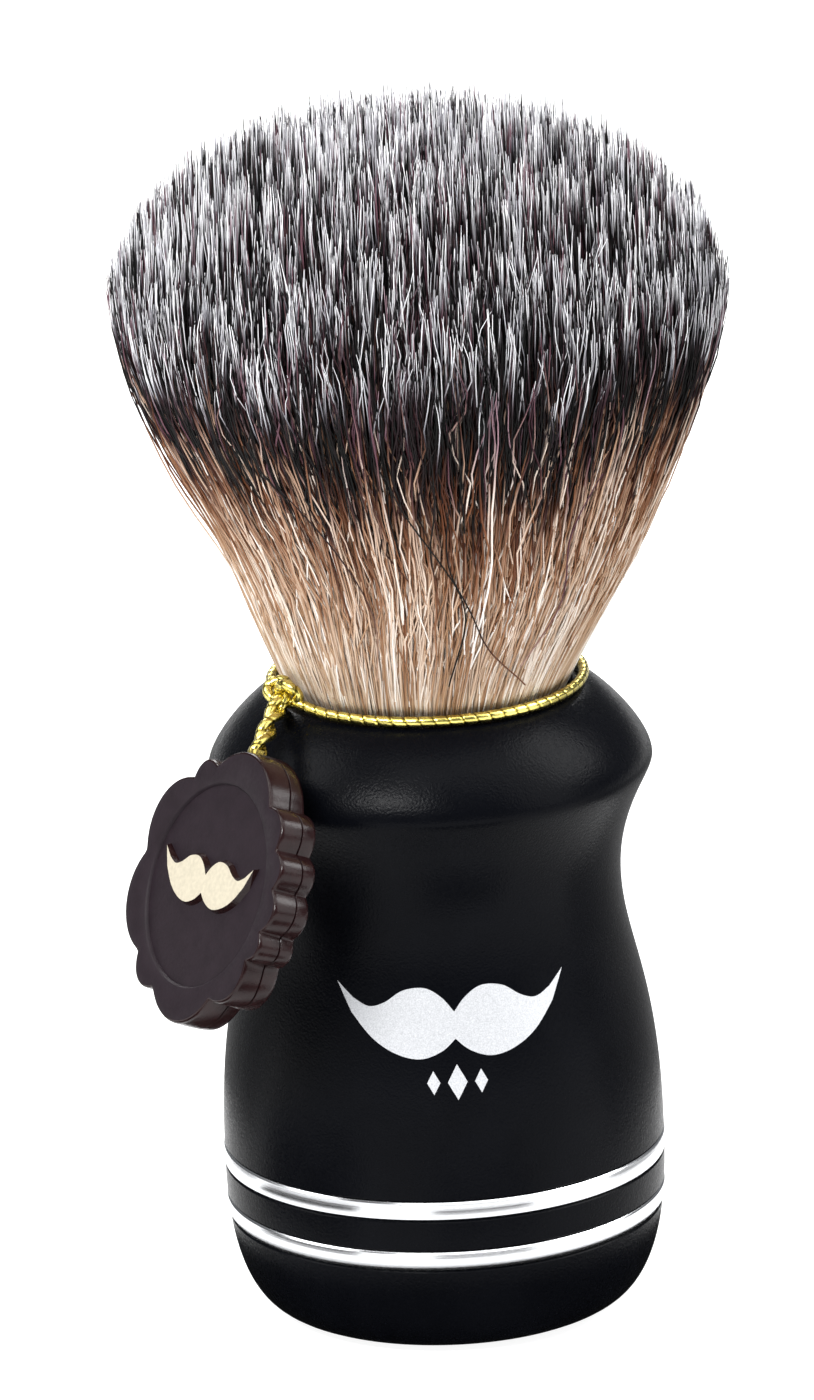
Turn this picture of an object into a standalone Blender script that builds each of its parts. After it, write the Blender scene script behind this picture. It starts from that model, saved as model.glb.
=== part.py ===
"""A shaving brush: a turned handle, a glued-in knot of bristles, and a seal that hangs on a tinsel cord.

Metres, +Z up. The origin is the middle of the rubber foot's underside, and the handle's axis is Z.
The front is towards -Y, and the seal hangs over the shoulder at the front left.
"""

import math

import bmesh
import bpy
from mathutils import Matrix, Vector
from mathutils.geometry import interpolate_bezier

# Driving sizes of the handle
GAP = 0.0003
BELLY_RADIUS = 0.0190
WAIST_RADIUS = 0.01602
WAIST_HEIGHT = 0.0384
SHOULDER_RADIUS = 0.01905
SHOULDER_HEIGHT = 0.0487
MOUTH_RADIUS = 0.0133
HANDLE_TOP = 0.0555
LIP_REACH = 0.0020
LIP_DROP = 0.0007
SHOULDER_ROUND_ABOVE = 0.0019
SHOULDER_ROUND_BELOW = 0.0010
WAIST_PULL_ABOVE = 0.0057
WAIST_PULL_BELOW = 0.0066
BELLY_PULL = 0.0140
FOOT_RADIUS = 0.0129
HEEL_TOP = 0.0145
HEEL_ROUNDNESS = 2.5

# The two bright rings and the black spacer between them
UPPER_RING_TOP = 0.0150
UPPER_RING_BOTTOM = 0.0133
LOWER_RING_TOP = 0.01045
LOWER_RING_BOTTOM = 0.0087
SPIGOT_RADIUS = 0.0130
SPIGOT_BOTTOM = 0.0082

# The screw, its insert and the weight inside the handle
BOSS_RADIUS = 0.0052
INSERT_RADIUS = 0.0040
INSERT_LENGTH = 0.0095
SCREW_RADIUS = 0.0025
SCREW_HEAD_RADIUS = 0.0046
SCREW_HEAD_BOTTOM = 0.0026
SCREW_HEAD_HEIGHT = 0.0028
WASHER_RADIUS = 0.0055
WASHER_THICKNESS = 0.0008
WEIGHT_HEIGHT = 0.0128
WEIGHT_RADIUS = 0.0106
PAD_RADIUS = 0.0105
PAD_THICKNESS = 0.0015

# The knot of bristles and its socket
SOCKET_RADIUS = 0.0123
SOCKET_FLOOR = 0.0420
EPOXY_THICKNESS = 0.0007
CUP_RADIUS = 0.0120
CUP_TOP = 0.0540
CUP_WALL = 0.0008
ROOT_RADIUS = 0.0109
ROOT_SINK = 0.0007
PLUG_SINK = 0.0010
NECK_RADIUS = 0.0126
NECK_HEIGHT = 0.0562
FLARE_SLOPE = 0.475
FLARE_TOP = 0.0813
CROWN_RADIUS = 0.0262
CROWN_HEIGHT = 0.0900
APEX_HEIGHT = 0.1061
DOME_ROUNDNESS = 2.1

# The cord round the neck
CORD_RADIUS = 0.0005
LOOP_RADIUS = 0.0134
LOOP_HEIGHT = 0.05615
KNOT_BEARING = math.radians(212.2)
KNOT_REACH = 0.0146
KNOT_HEIGHT = 0.0570
KNOT_HALF_SIZES = (0.0015, 0.0019, 0.0015)
STRAND_SPACING = 0.0013
STRAND_TURNS = 1.5
LEASH_END_GAP = 0.0012

# The seal: where the cord enters its top, how it is turned, and its shape
SEAL_TOP = Vector((-0.01461, -0.01450, 0.05429))
SEAL_FACING = math.radians(-60.2)
SEAL_TILT = math.radians(-22.8)
SEAL_LEAN = math.radians(-5.5)
SEAL_NOTCH_RADIUS = 0.0102
SEAL_LOBE = 0.0020
SEAL_NOTCHES = (-138, -113, -62, -30, -14, 7, 26, 50, 105, 125, 172)
NARROW_LOBE = 22
SEAL_THICKNESS = 0.0036
SEAL_FRONT_THICKNESS = 0.0021
SEAL_HANG = 0.0119
SEAL_FACE_RADIUS = 0.0088
SEAL_FACE_DEPTH = 0.0003
CORD_HOLE_RADIUS = 0.00095
CORD_STOP_RADIUS = 0.0010
CORD_STOP_DROP = 0.0030
PEG_RADIUS = 0.0008
PEG_LENGTH = 0.0009
PEG_REACH = 0.0062
EMBLEM_HALF_WIDTH = 0.0070
EMBLEM_HEIGHT = 0.0004

ROUND_STEPS = 48
SMALL_STEPS = 24
CURVE_STEPS = 7

BLACK = (0.012, 0.013, 0.015)
CHOCOLATE = (0.045, 0.024, 0.026)
GOLD = (0.80, 0.62, 0.16)


def clear_scene():
    for obj in list(bpy.data.objects):
        bpy.data.objects.remove(obj, do_unlink=True)


def new_collection(name):
    made = bpy.data.collections.new(name)
    bpy.context.scene.collection.children.link(made)
    return made


def material(name, colour, roughness, metallic=0.0):
    mat = bpy.data.materials.new(name)
    mat.use_nodes = True
    shader = mat.node_tree.nodes["Principled BSDF"]
    shader.inputs["Base Color"].default_value = (*colour, 1.0)
    shader.inputs["Roughness"].default_value = roughness
    shader.inputs["Metallic"].default_value = metallic
    return mat


def place(name, data, mat):
    """An object that shows this mesh or curve."""
    obj = bpy.data.objects.new(name, data)
    data.materials.append(mat)
    PARTS.objects.link(obj)
    return obj


def cutter(name, bm):
    """A helper body that a Boolean reads; it isn't part of the brush."""
    mesh = bpy.data.meshes.new(name)
    bm.to_mesh(mesh)
    bm.free()
    obj = bpy.data.objects.new(name, mesh)
    obj.hide_render = True
    obj.display_type = "WIRE"
    CUTTERS.objects.link(obj)
    return obj


def combine(obj, other, operation):
    modifier = obj.modifiers.new(other.name, "BOOLEAN")
    modifier.operation = operation
    modifier.object = other
    other.parent = obj.parent


def turned(name, profile, mat, steps=ROUND_STEPS, ring=False):
    """Turns a profile of (radius, height) points round Z. It runs down the outer side."""
    points = [(radius, 0.0, height) for radius, height in profile]
    edges = [(i, i + 1) for i in range(len(points) - 1)]
    if ring:
        edges.append((len(points) - 1, 0))
    mesh = bpy.data.meshes.new(name)
    mesh.from_pydata(points, edges, [])
    obj = place(name, mesh, mat)
    screw = obj.modifiers.new("Turn", "SCREW")
    screw.steps = steps
    screw.render_steps = steps
    screw.use_merge_vertices = True
    screw.merge_threshold = 0.000001
    return obj


def disc(name, radius, bottom, top, mat, steps=SMALL_STEPS):
    return turned(name, [(0, top), (radius, top), (radius, bottom), (0, bottom)], mat, steps)


def washer(name, inner, outer, bottom, top, mat, steps=SMALL_STEPS):
    profile = [(inner, top), (outer, top), (outer, bottom), (inner, bottom)]
    return turned(name, profile, mat, steps, ring=True)


def tube(name, points, radius, mat):
    """A round cord through these points, with closed ends."""
    curve = bpy.data.curves.new(name, "CURVE")
    curve.dimensions = "3D"
    curve.bevel_depth = radius
    curve.bevel_resolution = 2
    curve.use_fill_caps = True
    spline = curve.splines.new("POLY")
    spline.points.add(len(points) - 1)
    for point, place_at in zip(spline.points, points):
        point.co = (*place_at, 1.0)
    return place(name, curve, mat)


def arc_between(start, start_handle, end_handle, end):
    """(radius, height) points along a Bezier curve, without the last one."""
    corners = [Vector((radius, height)) for radius, height in (start, start_handle, end_handle, end)]
    return [tuple(point) for point in interpolate_bezier(*corners, CURVE_STEPS + 1)][:-1]


def upper_outline():
    """The handle's outer side from its mouth down to the upper ring's top."""
    mouth = (MOUTH_RADIUS, HANDLE_TOP)
    lip = (MOUTH_RADIUS + LIP_REACH, HANDLE_TOP - LIP_DROP)
    above_shoulder = (SHOULDER_RADIUS, SHOULDER_HEIGHT + SHOULDER_ROUND_ABOVE)
    shoulder = (SHOULDER_RADIUS, SHOULDER_HEIGHT)
    below_shoulder = (SHOULDER_RADIUS, SHOULDER_HEIGHT - SHOULDER_ROUND_BELOW)
    above_waist = (WAIST_RADIUS, WAIST_HEIGHT + WAIST_PULL_ABOVE)
    waist = (WAIST_RADIUS, WAIST_HEIGHT)
    below_waist = (WAIST_RADIUS, WAIST_HEIGHT - WAIST_PULL_BELOW)
    above_belly = (BELLY_RADIUS, UPPER_RING_TOP + BELLY_PULL)
    belly = (BELLY_RADIUS, UPPER_RING_TOP)
    outline = arc_between(mouth, lip, above_shoulder, shoulder)
    outline += arc_between(shoulder, below_shoulder, above_waist, waist)
    outline += arc_between(waist, below_waist, above_belly, belly)
    return outline


def heel_radius(height):
    """The outer side below the belly, a superellipse that ends on the foot's rim."""
    share = (HEEL_TOP - height) / (HEEL_TOP - GAP)
    if share <= 0:
        return BELLY_RADIUS
    bulge = (1 - min(share, 1) ** HEEL_ROUNDNESS) ** (1 / HEEL_ROUNDNESS)
    return FOOT_RADIUS + (BELLY_RADIUS - FOOT_RADIUS) * bulge


def make_handle_body():
    """The upper handle: socket above, and below it a spigot with a boss and a pocket for the weight."""
    bottom = UPPER_RING_TOP + GAP / 2
    weight_top = SPIGOT_BOTTOM + WEIGHT_HEIGHT + 2 * GAP
    insert_top = SPIGOT_BOTTOM + INSERT_LENGTH + 2 * GAP
    profile = [(0, SOCKET_FLOOR), (SOCKET_RADIUS, SOCKET_FLOOR), (SOCKET_RADIUS, HANDLE_TOP)]
    profile += upper_outline()
    profile += [
        (BELLY_RADIUS, bottom),
        (SPIGOT_RADIUS, bottom),
        (SPIGOT_RADIUS, SPIGOT_BOTTOM),
        (WEIGHT_RADIUS + GAP, SPIGOT_BOTTOM),
        (WEIGHT_RADIUS + GAP, weight_top),
        (BOSS_RADIUS, weight_top),
        (BOSS_RADIUS, SPIGOT_BOTTOM),
        (INSERT_RADIUS + GAP, SPIGOT_BOTTOM),
        (INSERT_RADIUS + GAP, insert_top),
        (0, insert_top),
    ]
    turned("handle_body", profile, material("black_lacquer", BLACK, 0.38))


def make_trim():
    """Two bright rings and a spacer, slipped over the spigot."""
    bright = material("bright_aluminium", (0.80, 0.81, 0.83), 0.16, 1.0)
    black = material("black_spacer", BLACK, 0.38)
    stack = [
        ("upper_trim_ring", UPPER_RING_BOTTOM, UPPER_RING_TOP, bright, 0.00005),
        ("trim_spacer", LOWER_RING_TOP, UPPER_RING_BOTTOM, black, 0.0),
        ("lower_trim_ring", LOWER_RING_BOTTOM, LOWER_RING_TOP, bright, 0.00005),
    ]
    for name, bottom, top, mat, proud in stack:
        outer = heel_radius((bottom + top) / 2) + proud
        inner = SPIGOT_RADIUS + GAP
        washer(name, inner, outer, bottom + GAP / 2, top - GAP / 2, mat, ROUND_STEPS)


def make_base():
    """The foot of the handle: a cup for the spigot, a web for the screw and a recess for the pad."""
    web_top = SPIGOT_BOTTOM - GAP
    web_bottom = SCREW_HEAD_BOTTOM + SCREW_HEAD_HEIGHT + WASHER_THICKNESS + 2 * GAP
    recess_top = PAD_THICKNESS + GAP
    rim_top = LOWER_RING_BOTTOM - GAP / 2
    heel = [GAP + (rim_top - GAP) * math.sin(step * math.pi / 16) ** 2 for step in range(8, -1, -1)]
    profile = [(SCREW_RADIUS + GAP, web_top), (SPIGOT_RADIUS + GAP, web_top), (SPIGOT_RADIUS + GAP, rim_top)]
    profile += [(heel_radius(height), height) for height in heel]
    profile += [
        (PAD_RADIUS + GAP, GAP),
        (PAD_RADIUS + GAP, recess_top),
        (WASHER_RADIUS + GAP, recess_top),
        (WASHER_RADIUS + GAP, web_bottom),
        (SCREW_RADIUS + GAP, web_bottom),
    ]
    turned("handle_base", profile, material("black_base", BLACK, 0.38), ring=True)


def make_fixings():
    """The pad under the foot, and the screw that holds the stack together."""
    steel = material("zinc_steel", (0.55, 0.56, 0.58), 0.35, 1.0)
    brass = material("brass", (0.72, 0.55, 0.24), 0.35, 1.0)
    iron = material("weight_iron", (0.18, 0.18, 0.19), 0.55, 1.0)
    rubber = material("rubber", (0.03, 0.03, 0.03), 0.85)
    disc("foot_pad", PAD_RADIUS, 0.0, PAD_THICKNESS, rubber, ROUND_STEPS)

    head_top = SCREW_HEAD_BOTTOM + SCREW_HEAD_HEIGHT
    tip = SPIGOT_BOTTOM + INSERT_LENGTH
    screw = [
        (0, tip),
        (SCREW_RADIUS - 0.0004, tip),
        (SCREW_RADIUS, tip - 0.0006),
        (SCREW_RADIUS, head_top),
        (SCREW_HEAD_RADIUS, head_top),
        (SCREW_HEAD_RADIUS, SCREW_HEAD_BOTTOM + 0.0010),
        (SCREW_HEAD_RADIUS - 0.0012, SCREW_HEAD_BOTTOM),
        (0, SCREW_HEAD_BOTTOM),
    ]
    turned("assembly_screw", screw, steel, SMALL_STEPS)
    shank_hole = SCREW_RADIUS + GAP
    washer_bottom = head_top + GAP
    washer("screw_washer", shank_hole, WASHER_RADIUS, washer_bottom, washer_bottom + WASHER_THICKNESS, steel)
    insert_bottom = SPIGOT_BOTTOM + GAP
    washer("threaded_insert", shank_hole, INSERT_RADIUS, insert_bottom, insert_bottom + INSERT_LENGTH, brass)
    weight_hole = BOSS_RADIUS + GAP
    weight_top = insert_bottom + WEIGHT_HEIGHT
    washer("ballast_weight", weight_hole, WEIGHT_RADIUS, insert_bottom, weight_top, iron, ROUND_STEPS)


def bristle_outline():
    """The knot's outer side from its apex down to its root."""
    rise = APEX_HEIGHT - CROWN_HEIGHT
    outline = [(0, APEX_HEIGHT)]
    for step in range(1, 11):
        turn = step * math.pi / 20
        radius = CROWN_RADIUS * math.sin(turn) ** (2 / DOME_ROUNDNESS)
        outline.append((radius, CROWN_HEIGHT + rise * max(math.cos(turn), 0) ** (2 / DOME_ROUNDNESS)))
    flare_radius = NECK_RADIUS + FLARE_SLOPE * (FLARE_TOP - NECK_HEIGHT)
    outline += [
        (flare_radius, FLARE_TOP),
        (NECK_RADIUS, NECK_HEIGHT),
        (SOCKET_RADIUS - GAP, HANDLE_TOP),
        (SOCKET_RADIUS - GAP, CUP_TOP + 2 * GAP),
        (ROOT_RADIUS, CUP_TOP + GAP),
        (ROOT_RADIUS, CUP_TOP - ROOT_SINK),
        (0, CUP_TOP - ROOT_SINK),
    ]
    return outline


def make_knot_of_bristles():
    """Epoxy in the socket, a cup on it, the potted roots in the cup, and the bristles above."""
    epoxy_top = SOCKET_FLOOR + GAP + EPOXY_THICKNESS
    cup_bottom = epoxy_top + GAP
    cup_floor = cup_bottom + CUP_WALL
    epoxy = material("epoxy", (0.55, 0.45, 0.25), 0.3)
    disc("epoxy_bed", CUP_RADIUS - GAP, SOCKET_FLOOR + GAP, epoxy_top, epoxy)
    cup = [
        (0, cup_floor),
        (CUP_RADIUS - CUP_WALL, cup_floor),
        (CUP_RADIUS - CUP_WALL, CUP_TOP),
        (CUP_RADIUS, CUP_TOP),
        (CUP_RADIUS, cup_bottom),
        (0, cup_bottom),
    ]
    turned("knot_cup", cup, material("cup_nylon", (0.60, 0.58, 0.54), 0.45))
    potting = material("potting", (0.42, 0.34, 0.22), 0.4)
    disc("knot_plug", ROOT_RADIUS, cup_floor + GAP, CUP_TOP - PLUG_SINK, potting)
    turned("bristle_bundle", bristle_outline(), material("bristles", (0.62, 0.53, 0.45), 0.6))


def make_neck_cord():
    """The loop in the crease between the bristles and the handle, and the knot that ties it."""
    gold = material("gold_tinsel", GOLD, 0.25, 1.0)
    half_opening = (KNOT_HALF_SIZES[1] + 2 * GAP) / LOOP_RADIUS
    sweep = 2 * math.pi - 2 * half_opening
    count = 48
    points = []
    for step in range(count + 1):
        bearing = KNOT_BEARING + half_opening + sweep * step / count
        points.append((LOOP_RADIUS * math.cos(bearing), LOOP_RADIUS * math.sin(bearing), 0))
    loop = tube("cord_loop", points, CORD_RADIUS, gold)
    loop.parent = NECK

    bm = bmesh.new()
    bmesh.ops.create_uvsphere(bm, u_segments=16, v_segments=10, radius=1.0)
    bmesh.ops.scale(bm, vec=KNOT_HALF_SIZES, verts=bm.verts)
    bm.transform(Matrix.Rotation(KNOT_BEARING, 4, "Z"))
    mesh = bpy.data.meshes.new("cord_knot")
    bm.to_mesh(mesh)
    bm.free()
    mesh.shade_smooth()
    knot = place("cord_knot", mesh, gold)
    knot.parent = NECK
    knot.location = knot_centre() - NECK.location


def knot_centre():
    reach = Matrix.Rotation(KNOT_BEARING, 3, "Z") @ Vector((KNOT_REACH, 0, 0))
    return reach + Vector((0, 0, KNOT_HEIGHT))


def make_leash():
    """Two strands that twist round each other between the knot and the seal."""
    gold = material("gold_tinsel_leash", GOLD, 0.25, 1.0)
    line = SEAL_TOP - knot_centre()
    along = line.normalized()
    across = along.cross(Vector((0, 0, 1))).normalized()
    beside = along.cross(across)
    start = KNOT_HALF_SIZES[1] + GAP
    end = line.length - LEASH_END_GAP
    count = 16
    for name, phase in (("leash_strand_a", 0.0), ("leash_strand_b", math.pi)):
        points = []
        for step in range(count + 1):
            share = step / count
            turn = phase + share * STRAND_TURNS * 2 * math.pi
            sideways = across * math.cos(turn) + beside * math.sin(turn)
            points.append(along * (start + (end - start) * share) + sideways * STRAND_SPACING / 2)
        strand = tube(name, points, CORD_RADIUS, gold)
        strand.parent = LEASH


def seal_radius(bearing):
    """The seal's uneven scalloped rim: a rounded lobe between each two notches, lower where it is narrow."""
    degrees = math.degrees(bearing)
    ends = list(zip(SEAL_NOTCHES, SEAL_NOTCHES[1:] + (SEAL_NOTCHES[0] + 360,)))
    for start, end in ends:
        share = (degrees - start) % 360 / (end - start)
        if share <= 1:
            height = SEAL_LOBE * (1 - math.exp((start - end) / NARROW_LOBE))
            return SEAL_NOTCH_RADIUS + height * math.sin(math.pi * share) ** 0.6
    return SEAL_NOTCH_RADIUS


def scalloped_half(name, front, back, mat):
    """One half of the seal, between two depths along its own Y."""
    bm = bmesh.new()
    upright = Matrix.Rotation(math.pi / 2, 4, "X")
    bmesh.ops.create_cone(
        bm, cap_ends=True, segments=90, radius1=1.0, radius2=1.0, depth=back - front, matrix=upright
    )
    for vert in bm.verts:
        radius = seal_radius(math.atan2(vert.co.z, vert.co.x))
        vert.co.x *= radius
        vert.co.z = vert.co.z * radius - SEAL_HANG
        vert.co.y += (front + back) / 2
    mesh = bpy.data.meshes.new(name)
    bm.to_mesh(mesh)
    bm.free()
    half = place(name, mesh, mat)
    half.parent = SEAL
    bevel = half.modifiers.new("Soft rims", "BEVEL")
    bevel.width = 0.00025
    bevel.segments = 1
    bevel.limit_method = "ANGLE"
    bevel.angle_limit = math.radians(50)
    return half


def peg_places():
    for turn in (30, 150, 270):
        bearing = math.radians(turn)
        yield PEG_REACH * math.cos(bearing), PEG_REACH * math.sin(bearing) - SEAL_HANG


def pegs(name, radius, front, back):
    """Three short cylinders along the seal's own Y, between two depths."""
    bm = bmesh.new()
    for x, z in peg_places():
        at = Matrix.Translation((x, (front + back) / 2, z)) @ Matrix.Rotation(math.pi / 2, 4, "X")
        bmesh.ops.create_cone(
            bm, cap_ends=True, segments=12, radius1=radius, radius2=radius, depth=back - front, matrix=at
        )
    return cutter(name, bm)


def cord_way(name):
    """The hollow that the cord's end and its stop sit in, open at the seal's top."""
    bm = bmesh.new()
    drop = CORD_STOP_DROP + 0.0010
    bmesh.ops.create_cone(
        bm,
        cap_ends=True,
        segments=12,
        radius1=CORD_HOLE_RADIUS,
        radius2=CORD_HOLE_RADIUS,
        depth=drop,
        matrix=Matrix.Translation((0, 0, 0.0010 - drop / 2)),
    )
    hole = cutter(name, bm)
    bm = bmesh.new()
    bmesh.ops.create_uvsphere(
        bm,
        u_segments=16,
        v_segments=10,
        radius=CORD_STOP_RADIUS + GAP,
        matrix=Matrix.Translation((0, 0, -CORD_STOP_DROP)),
    )
    hollow = cutter(name + "_stop", bm)
    return hole, hollow


def make_seal():
    """Two scalloped halves that snap together round the end of the cord."""
    front_mat = material("seal_front_plastic", CHOCOLATE, 0.42)
    back_mat = material("seal_back_plastic", CHOCOLATE, 0.42)
    face = -SEAL_THICKNESS / 2
    parting = face + SEAL_FRONT_THICKNESS
    front = scalloped_half("seal_front", face, parting, front_mat)
    back = scalloped_half("seal_back", parting + GAP / 2, SEAL_THICKNESS / 2, back_mat)

    bm = bmesh.new()
    bmesh.ops.create_cone(
        bm,
        cap_ends=True,
        segments=48,
        radius1=SEAL_FACE_RADIUS,
        radius2=SEAL_FACE_RADIUS,
        depth=2 * SEAL_FACE_DEPTH,
        matrix=Matrix.Translation((0, face, -SEAL_HANG)) @ Matrix.Rotation(math.pi / 2, 4, "X"),
    )
    combine(front, cutter("face_recess", bm), "DIFFERENCE")
    for half in (front, back):
        for way in cord_way("cord_way_" + half.name):
            combine(half, way, "DIFFERENCE")
    holes = pegs("peg_holes", PEG_RADIUS + GAP, parting - PEG_LENGTH - GAP, parting + 0.001)
    combine(front, holes, "DIFFERENCE")
    studs = pegs("peg_studs", PEG_RADIUS, parting - PEG_LENGTH, parting + 0.0005)
    combine(back, studs, "UNION")


def make_cord_end():
    """The end of the cord inside the seal, with the stop that keeps it there."""
    shaft = CORD_HOLE_RADIUS - GAP
    joint_height = -CORD_STOP_DROP + math.sqrt(CORD_STOP_RADIUS**2 - shaft**2)
    profile = [(0, GAP), (shaft, GAP), (shaft, joint_height)]
    first_turn = math.asin(shaft / CORD_STOP_RADIUS)
    for step in range(1, 8):
        turn = first_turn + (math.pi - first_turn) * step / 8
        height = CORD_STOP_RADIUS * math.cos(turn) - CORD_STOP_DROP
        profile.append((CORD_STOP_RADIUS * math.sin(turn), height))
    profile.append((0, -CORD_STOP_DROP - CORD_STOP_RADIUS))
    end = turned("seal_cord_end", profile, material("gold_tinsel_end", GOLD, 0.25, 1.0), 16)
    end.parent = SEAL


def emblem_outline():
    """A curled moustache, given round from its middle notch and mirrored about Z."""
    lower = [(0.00, -0.10), (0.12, -0.20), (0.30, -0.26), (0.50, -0.22), (0.70, -0.10), (0.88, 0.10)]
    tip = [(1.00, 0.34)]
    upper = [(0.86, 0.22), (0.72, 0.16), (0.58, 0.20), (0.42, 0.30), (0.24, 0.32), (0.10, 0.24), (0.00, 0.12)]
    half = lower + tip + upper
    other = [(-x, z) for x, z in reversed(half[1:-1])]
    return [(x * EMBLEM_HALF_WIDTH, z * EMBLEM_HALF_WIDTH) for x, z in half + other]


def make_emblem():
    """The cream emblem that stands on the seal's face."""
    curve = bpy.data.curves.new("seal_emblem_outline", "CURVE")
    curve.dimensions = "2D"
    curve.fill_mode = "BOTH"
    curve.extrude = EMBLEM_HEIGHT / 2
    outline = emblem_outline()
    spline = curve.splines.new("POLY")
    spline.points.add(len(outline) - 1)
    for point, (x, z) in zip(spline.points, outline):
        point.co = (x, z, 0, 1)
    spline.use_cyclic_u = True
    emblem = place("seal_emblem", curve, material("cream_emblem", (0.83, 0.72, 0.52), 0.4))
    emblem.parent = SEAL
    face = -SEAL_THICKNESS / 2 + SEAL_FACE_DEPTH
    emblem.location = (0, face - EMBLEM_HEIGHT / 2 - GAP / 6, -SEAL_HANG)
    emblem.rotation_euler = (math.pi / 2, 0, 0)


def pivot(name, location, rotation=None):
    """An empty on a joint's axis, which the moving pieces hang from."""
    empty = bpy.data.objects.new(name, None)
    empty.empty_display_size = 0.005
    empty.location = location
    if rotation is not None:
        empty.rotation_euler = rotation.to_euler()
    PARTS.objects.link(empty)
    return empty


clear_scene()
PARTS = new_collection("Shaving brush")
CUTTERS = new_collection("Cutters")
CUTTERS.hide_render = True

SEAL_TURN = Matrix.Rotation(SEAL_FACING, 3, "Z")
SEAL_TURN @= Matrix.Rotation(SEAL_TILT, 3, "X")
SEAL_TURN @= Matrix.Rotation(SEAL_LEAN, 3, "Y")
NECK = pivot("neck_axis", Vector((0, 0, LOOP_HEIGHT)))
LEASH = pivot("leash_pivot", knot_centre())
SEAL = pivot("seal_pivot", SEAL_TOP, SEAL_TURN)

make_handle_body()
make_trim()
make_base()
make_fixings()
make_knot_of_bristles()
make_neck_cord()
make_leash()
make_seal()
make_cord_end()
make_emblem()
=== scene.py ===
"""Looks for the shaving brush: fine turned parts, a knot of fibres, a wound tinsel cord and a moulded seal.

Metres, +Z up, in the frame of the CAD model. The front is towards -Y.
"""

import math

import bmesh
import bpy
import numpy as np
from mathutils import Matrix, Vector
from mathutils.geometry import interpolate_bezier
from mathutils.kdtree import KDTree


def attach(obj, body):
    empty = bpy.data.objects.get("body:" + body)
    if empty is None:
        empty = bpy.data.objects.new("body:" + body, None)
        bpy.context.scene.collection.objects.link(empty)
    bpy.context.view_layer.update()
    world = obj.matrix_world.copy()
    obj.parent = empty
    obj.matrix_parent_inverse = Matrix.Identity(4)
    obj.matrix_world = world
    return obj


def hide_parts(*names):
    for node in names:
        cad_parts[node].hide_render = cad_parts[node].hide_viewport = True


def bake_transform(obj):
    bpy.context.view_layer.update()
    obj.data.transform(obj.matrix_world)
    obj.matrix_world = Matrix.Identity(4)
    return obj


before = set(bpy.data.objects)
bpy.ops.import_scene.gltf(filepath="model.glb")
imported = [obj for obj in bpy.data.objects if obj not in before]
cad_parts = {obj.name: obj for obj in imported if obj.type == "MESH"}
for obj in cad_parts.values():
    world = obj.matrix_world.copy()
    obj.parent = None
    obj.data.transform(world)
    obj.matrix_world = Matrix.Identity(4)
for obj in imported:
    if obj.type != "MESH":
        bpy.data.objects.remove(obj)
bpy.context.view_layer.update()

MM = 0.001

# Handle
GAP = 0.3 * MM
SEAM = 0.06 * MM
EASE = 0.15 * MM
BELLY_RADIUS = 19.0 * MM
WAIST_RADIUS = 16.02 * MM
WAIST_HEIGHT = 38.4 * MM
SHOULDER_RADIUS = 19.05 * MM
SHOULDER_HEIGHT = 48.7 * MM
MOUTH_RADIUS = 13.3 * MM
HANDLE_TOP = 55.5 * MM
LIP_REACH = 2.0 * MM
LIP_DROP = 0.7 * MM
SHOULDER_ROUND_ABOVE = 1.9 * MM
SHOULDER_ROUND_BELOW = 1.0 * MM
WAIST_PULL_ABOVE = 5.7 * MM
WAIST_PULL_BELOW = 6.6 * MM
BELLY_PULL = 14.0 * MM
FOOT_RADIUS = 12.9 * MM
HEEL_TOP = 14.5 * MM
HEEL_ROUNDNESS = 2.5
UPPER_RING_TOP = 15.0 * MM
UPPER_RING_BOTTOM = 13.3 * MM
LOWER_RING_TOP = 10.45 * MM
LOWER_RING_BOTTOM = 8.7 * MM
RING_PROUD = 0.04 * MM
RING_CROWN = 0.06 * MM
SPIGOT_RADIUS = 13.0 * MM
SPIGOT_BOTTOM = 8.2 * MM
BOSS_RADIUS = 5.2 * MM
INSERT_RADIUS = 4.0 * MM
INSERT_LENGTH = 9.5 * MM
WEIGHT_RADIUS = 10.6 * MM
WEIGHT_HEIGHT = 12.8 * MM
SCREW_RADIUS = 2.5 * MM
WASHER_RADIUS = 5.5 * MM
WEB_BOTTOM = 6.8 * MM
PAD_RADIUS = 10.5 * MM
PAD_THICKNESS = 1.5 * MM
SOCKET_RADIUS = 12.3 * MM
SOCKET_FLOOR = 42.0 * MM
TURN_STEPS = 224
CURVE_STEPS = 26
RING_STEPS = 8

# Knot of bristles
NECK_RADIUS = 12.6 * MM
NECK_HEIGHT = 56.2 * MM
FLARE_SLOPE = 0.478
FLARE_TOP = 81.3 * MM
FLARE_EASE = 12.0 * MM
CROWN_RADIUS = 26.4 * MM
CROWN_HEIGHT = 90.0 * MM
APEX_HEIGHT = 106.5 * MM
DOME_ROUNDNESS = 2.15
ROOT_HEIGHT = 54.4 * MM
KNOT_LEAN = 0.45 * MM
LEAN_RISE = 14.0 * MM
BOW = 0.65 * MM
BOW_HEIGHT = 69.0 * MM
BOW_REACH = 9.0 * MM
# The dark filler, with its radii as shares of the knot's.
CORE_STEPS = 24
CORE_DEPTH = 9.5 * MM
CORE_DOME_SHARE = 0.84
CORE_TOP_SHARE = 0.8404
CORE_FOOT_SHARE = 0.878416
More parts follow.
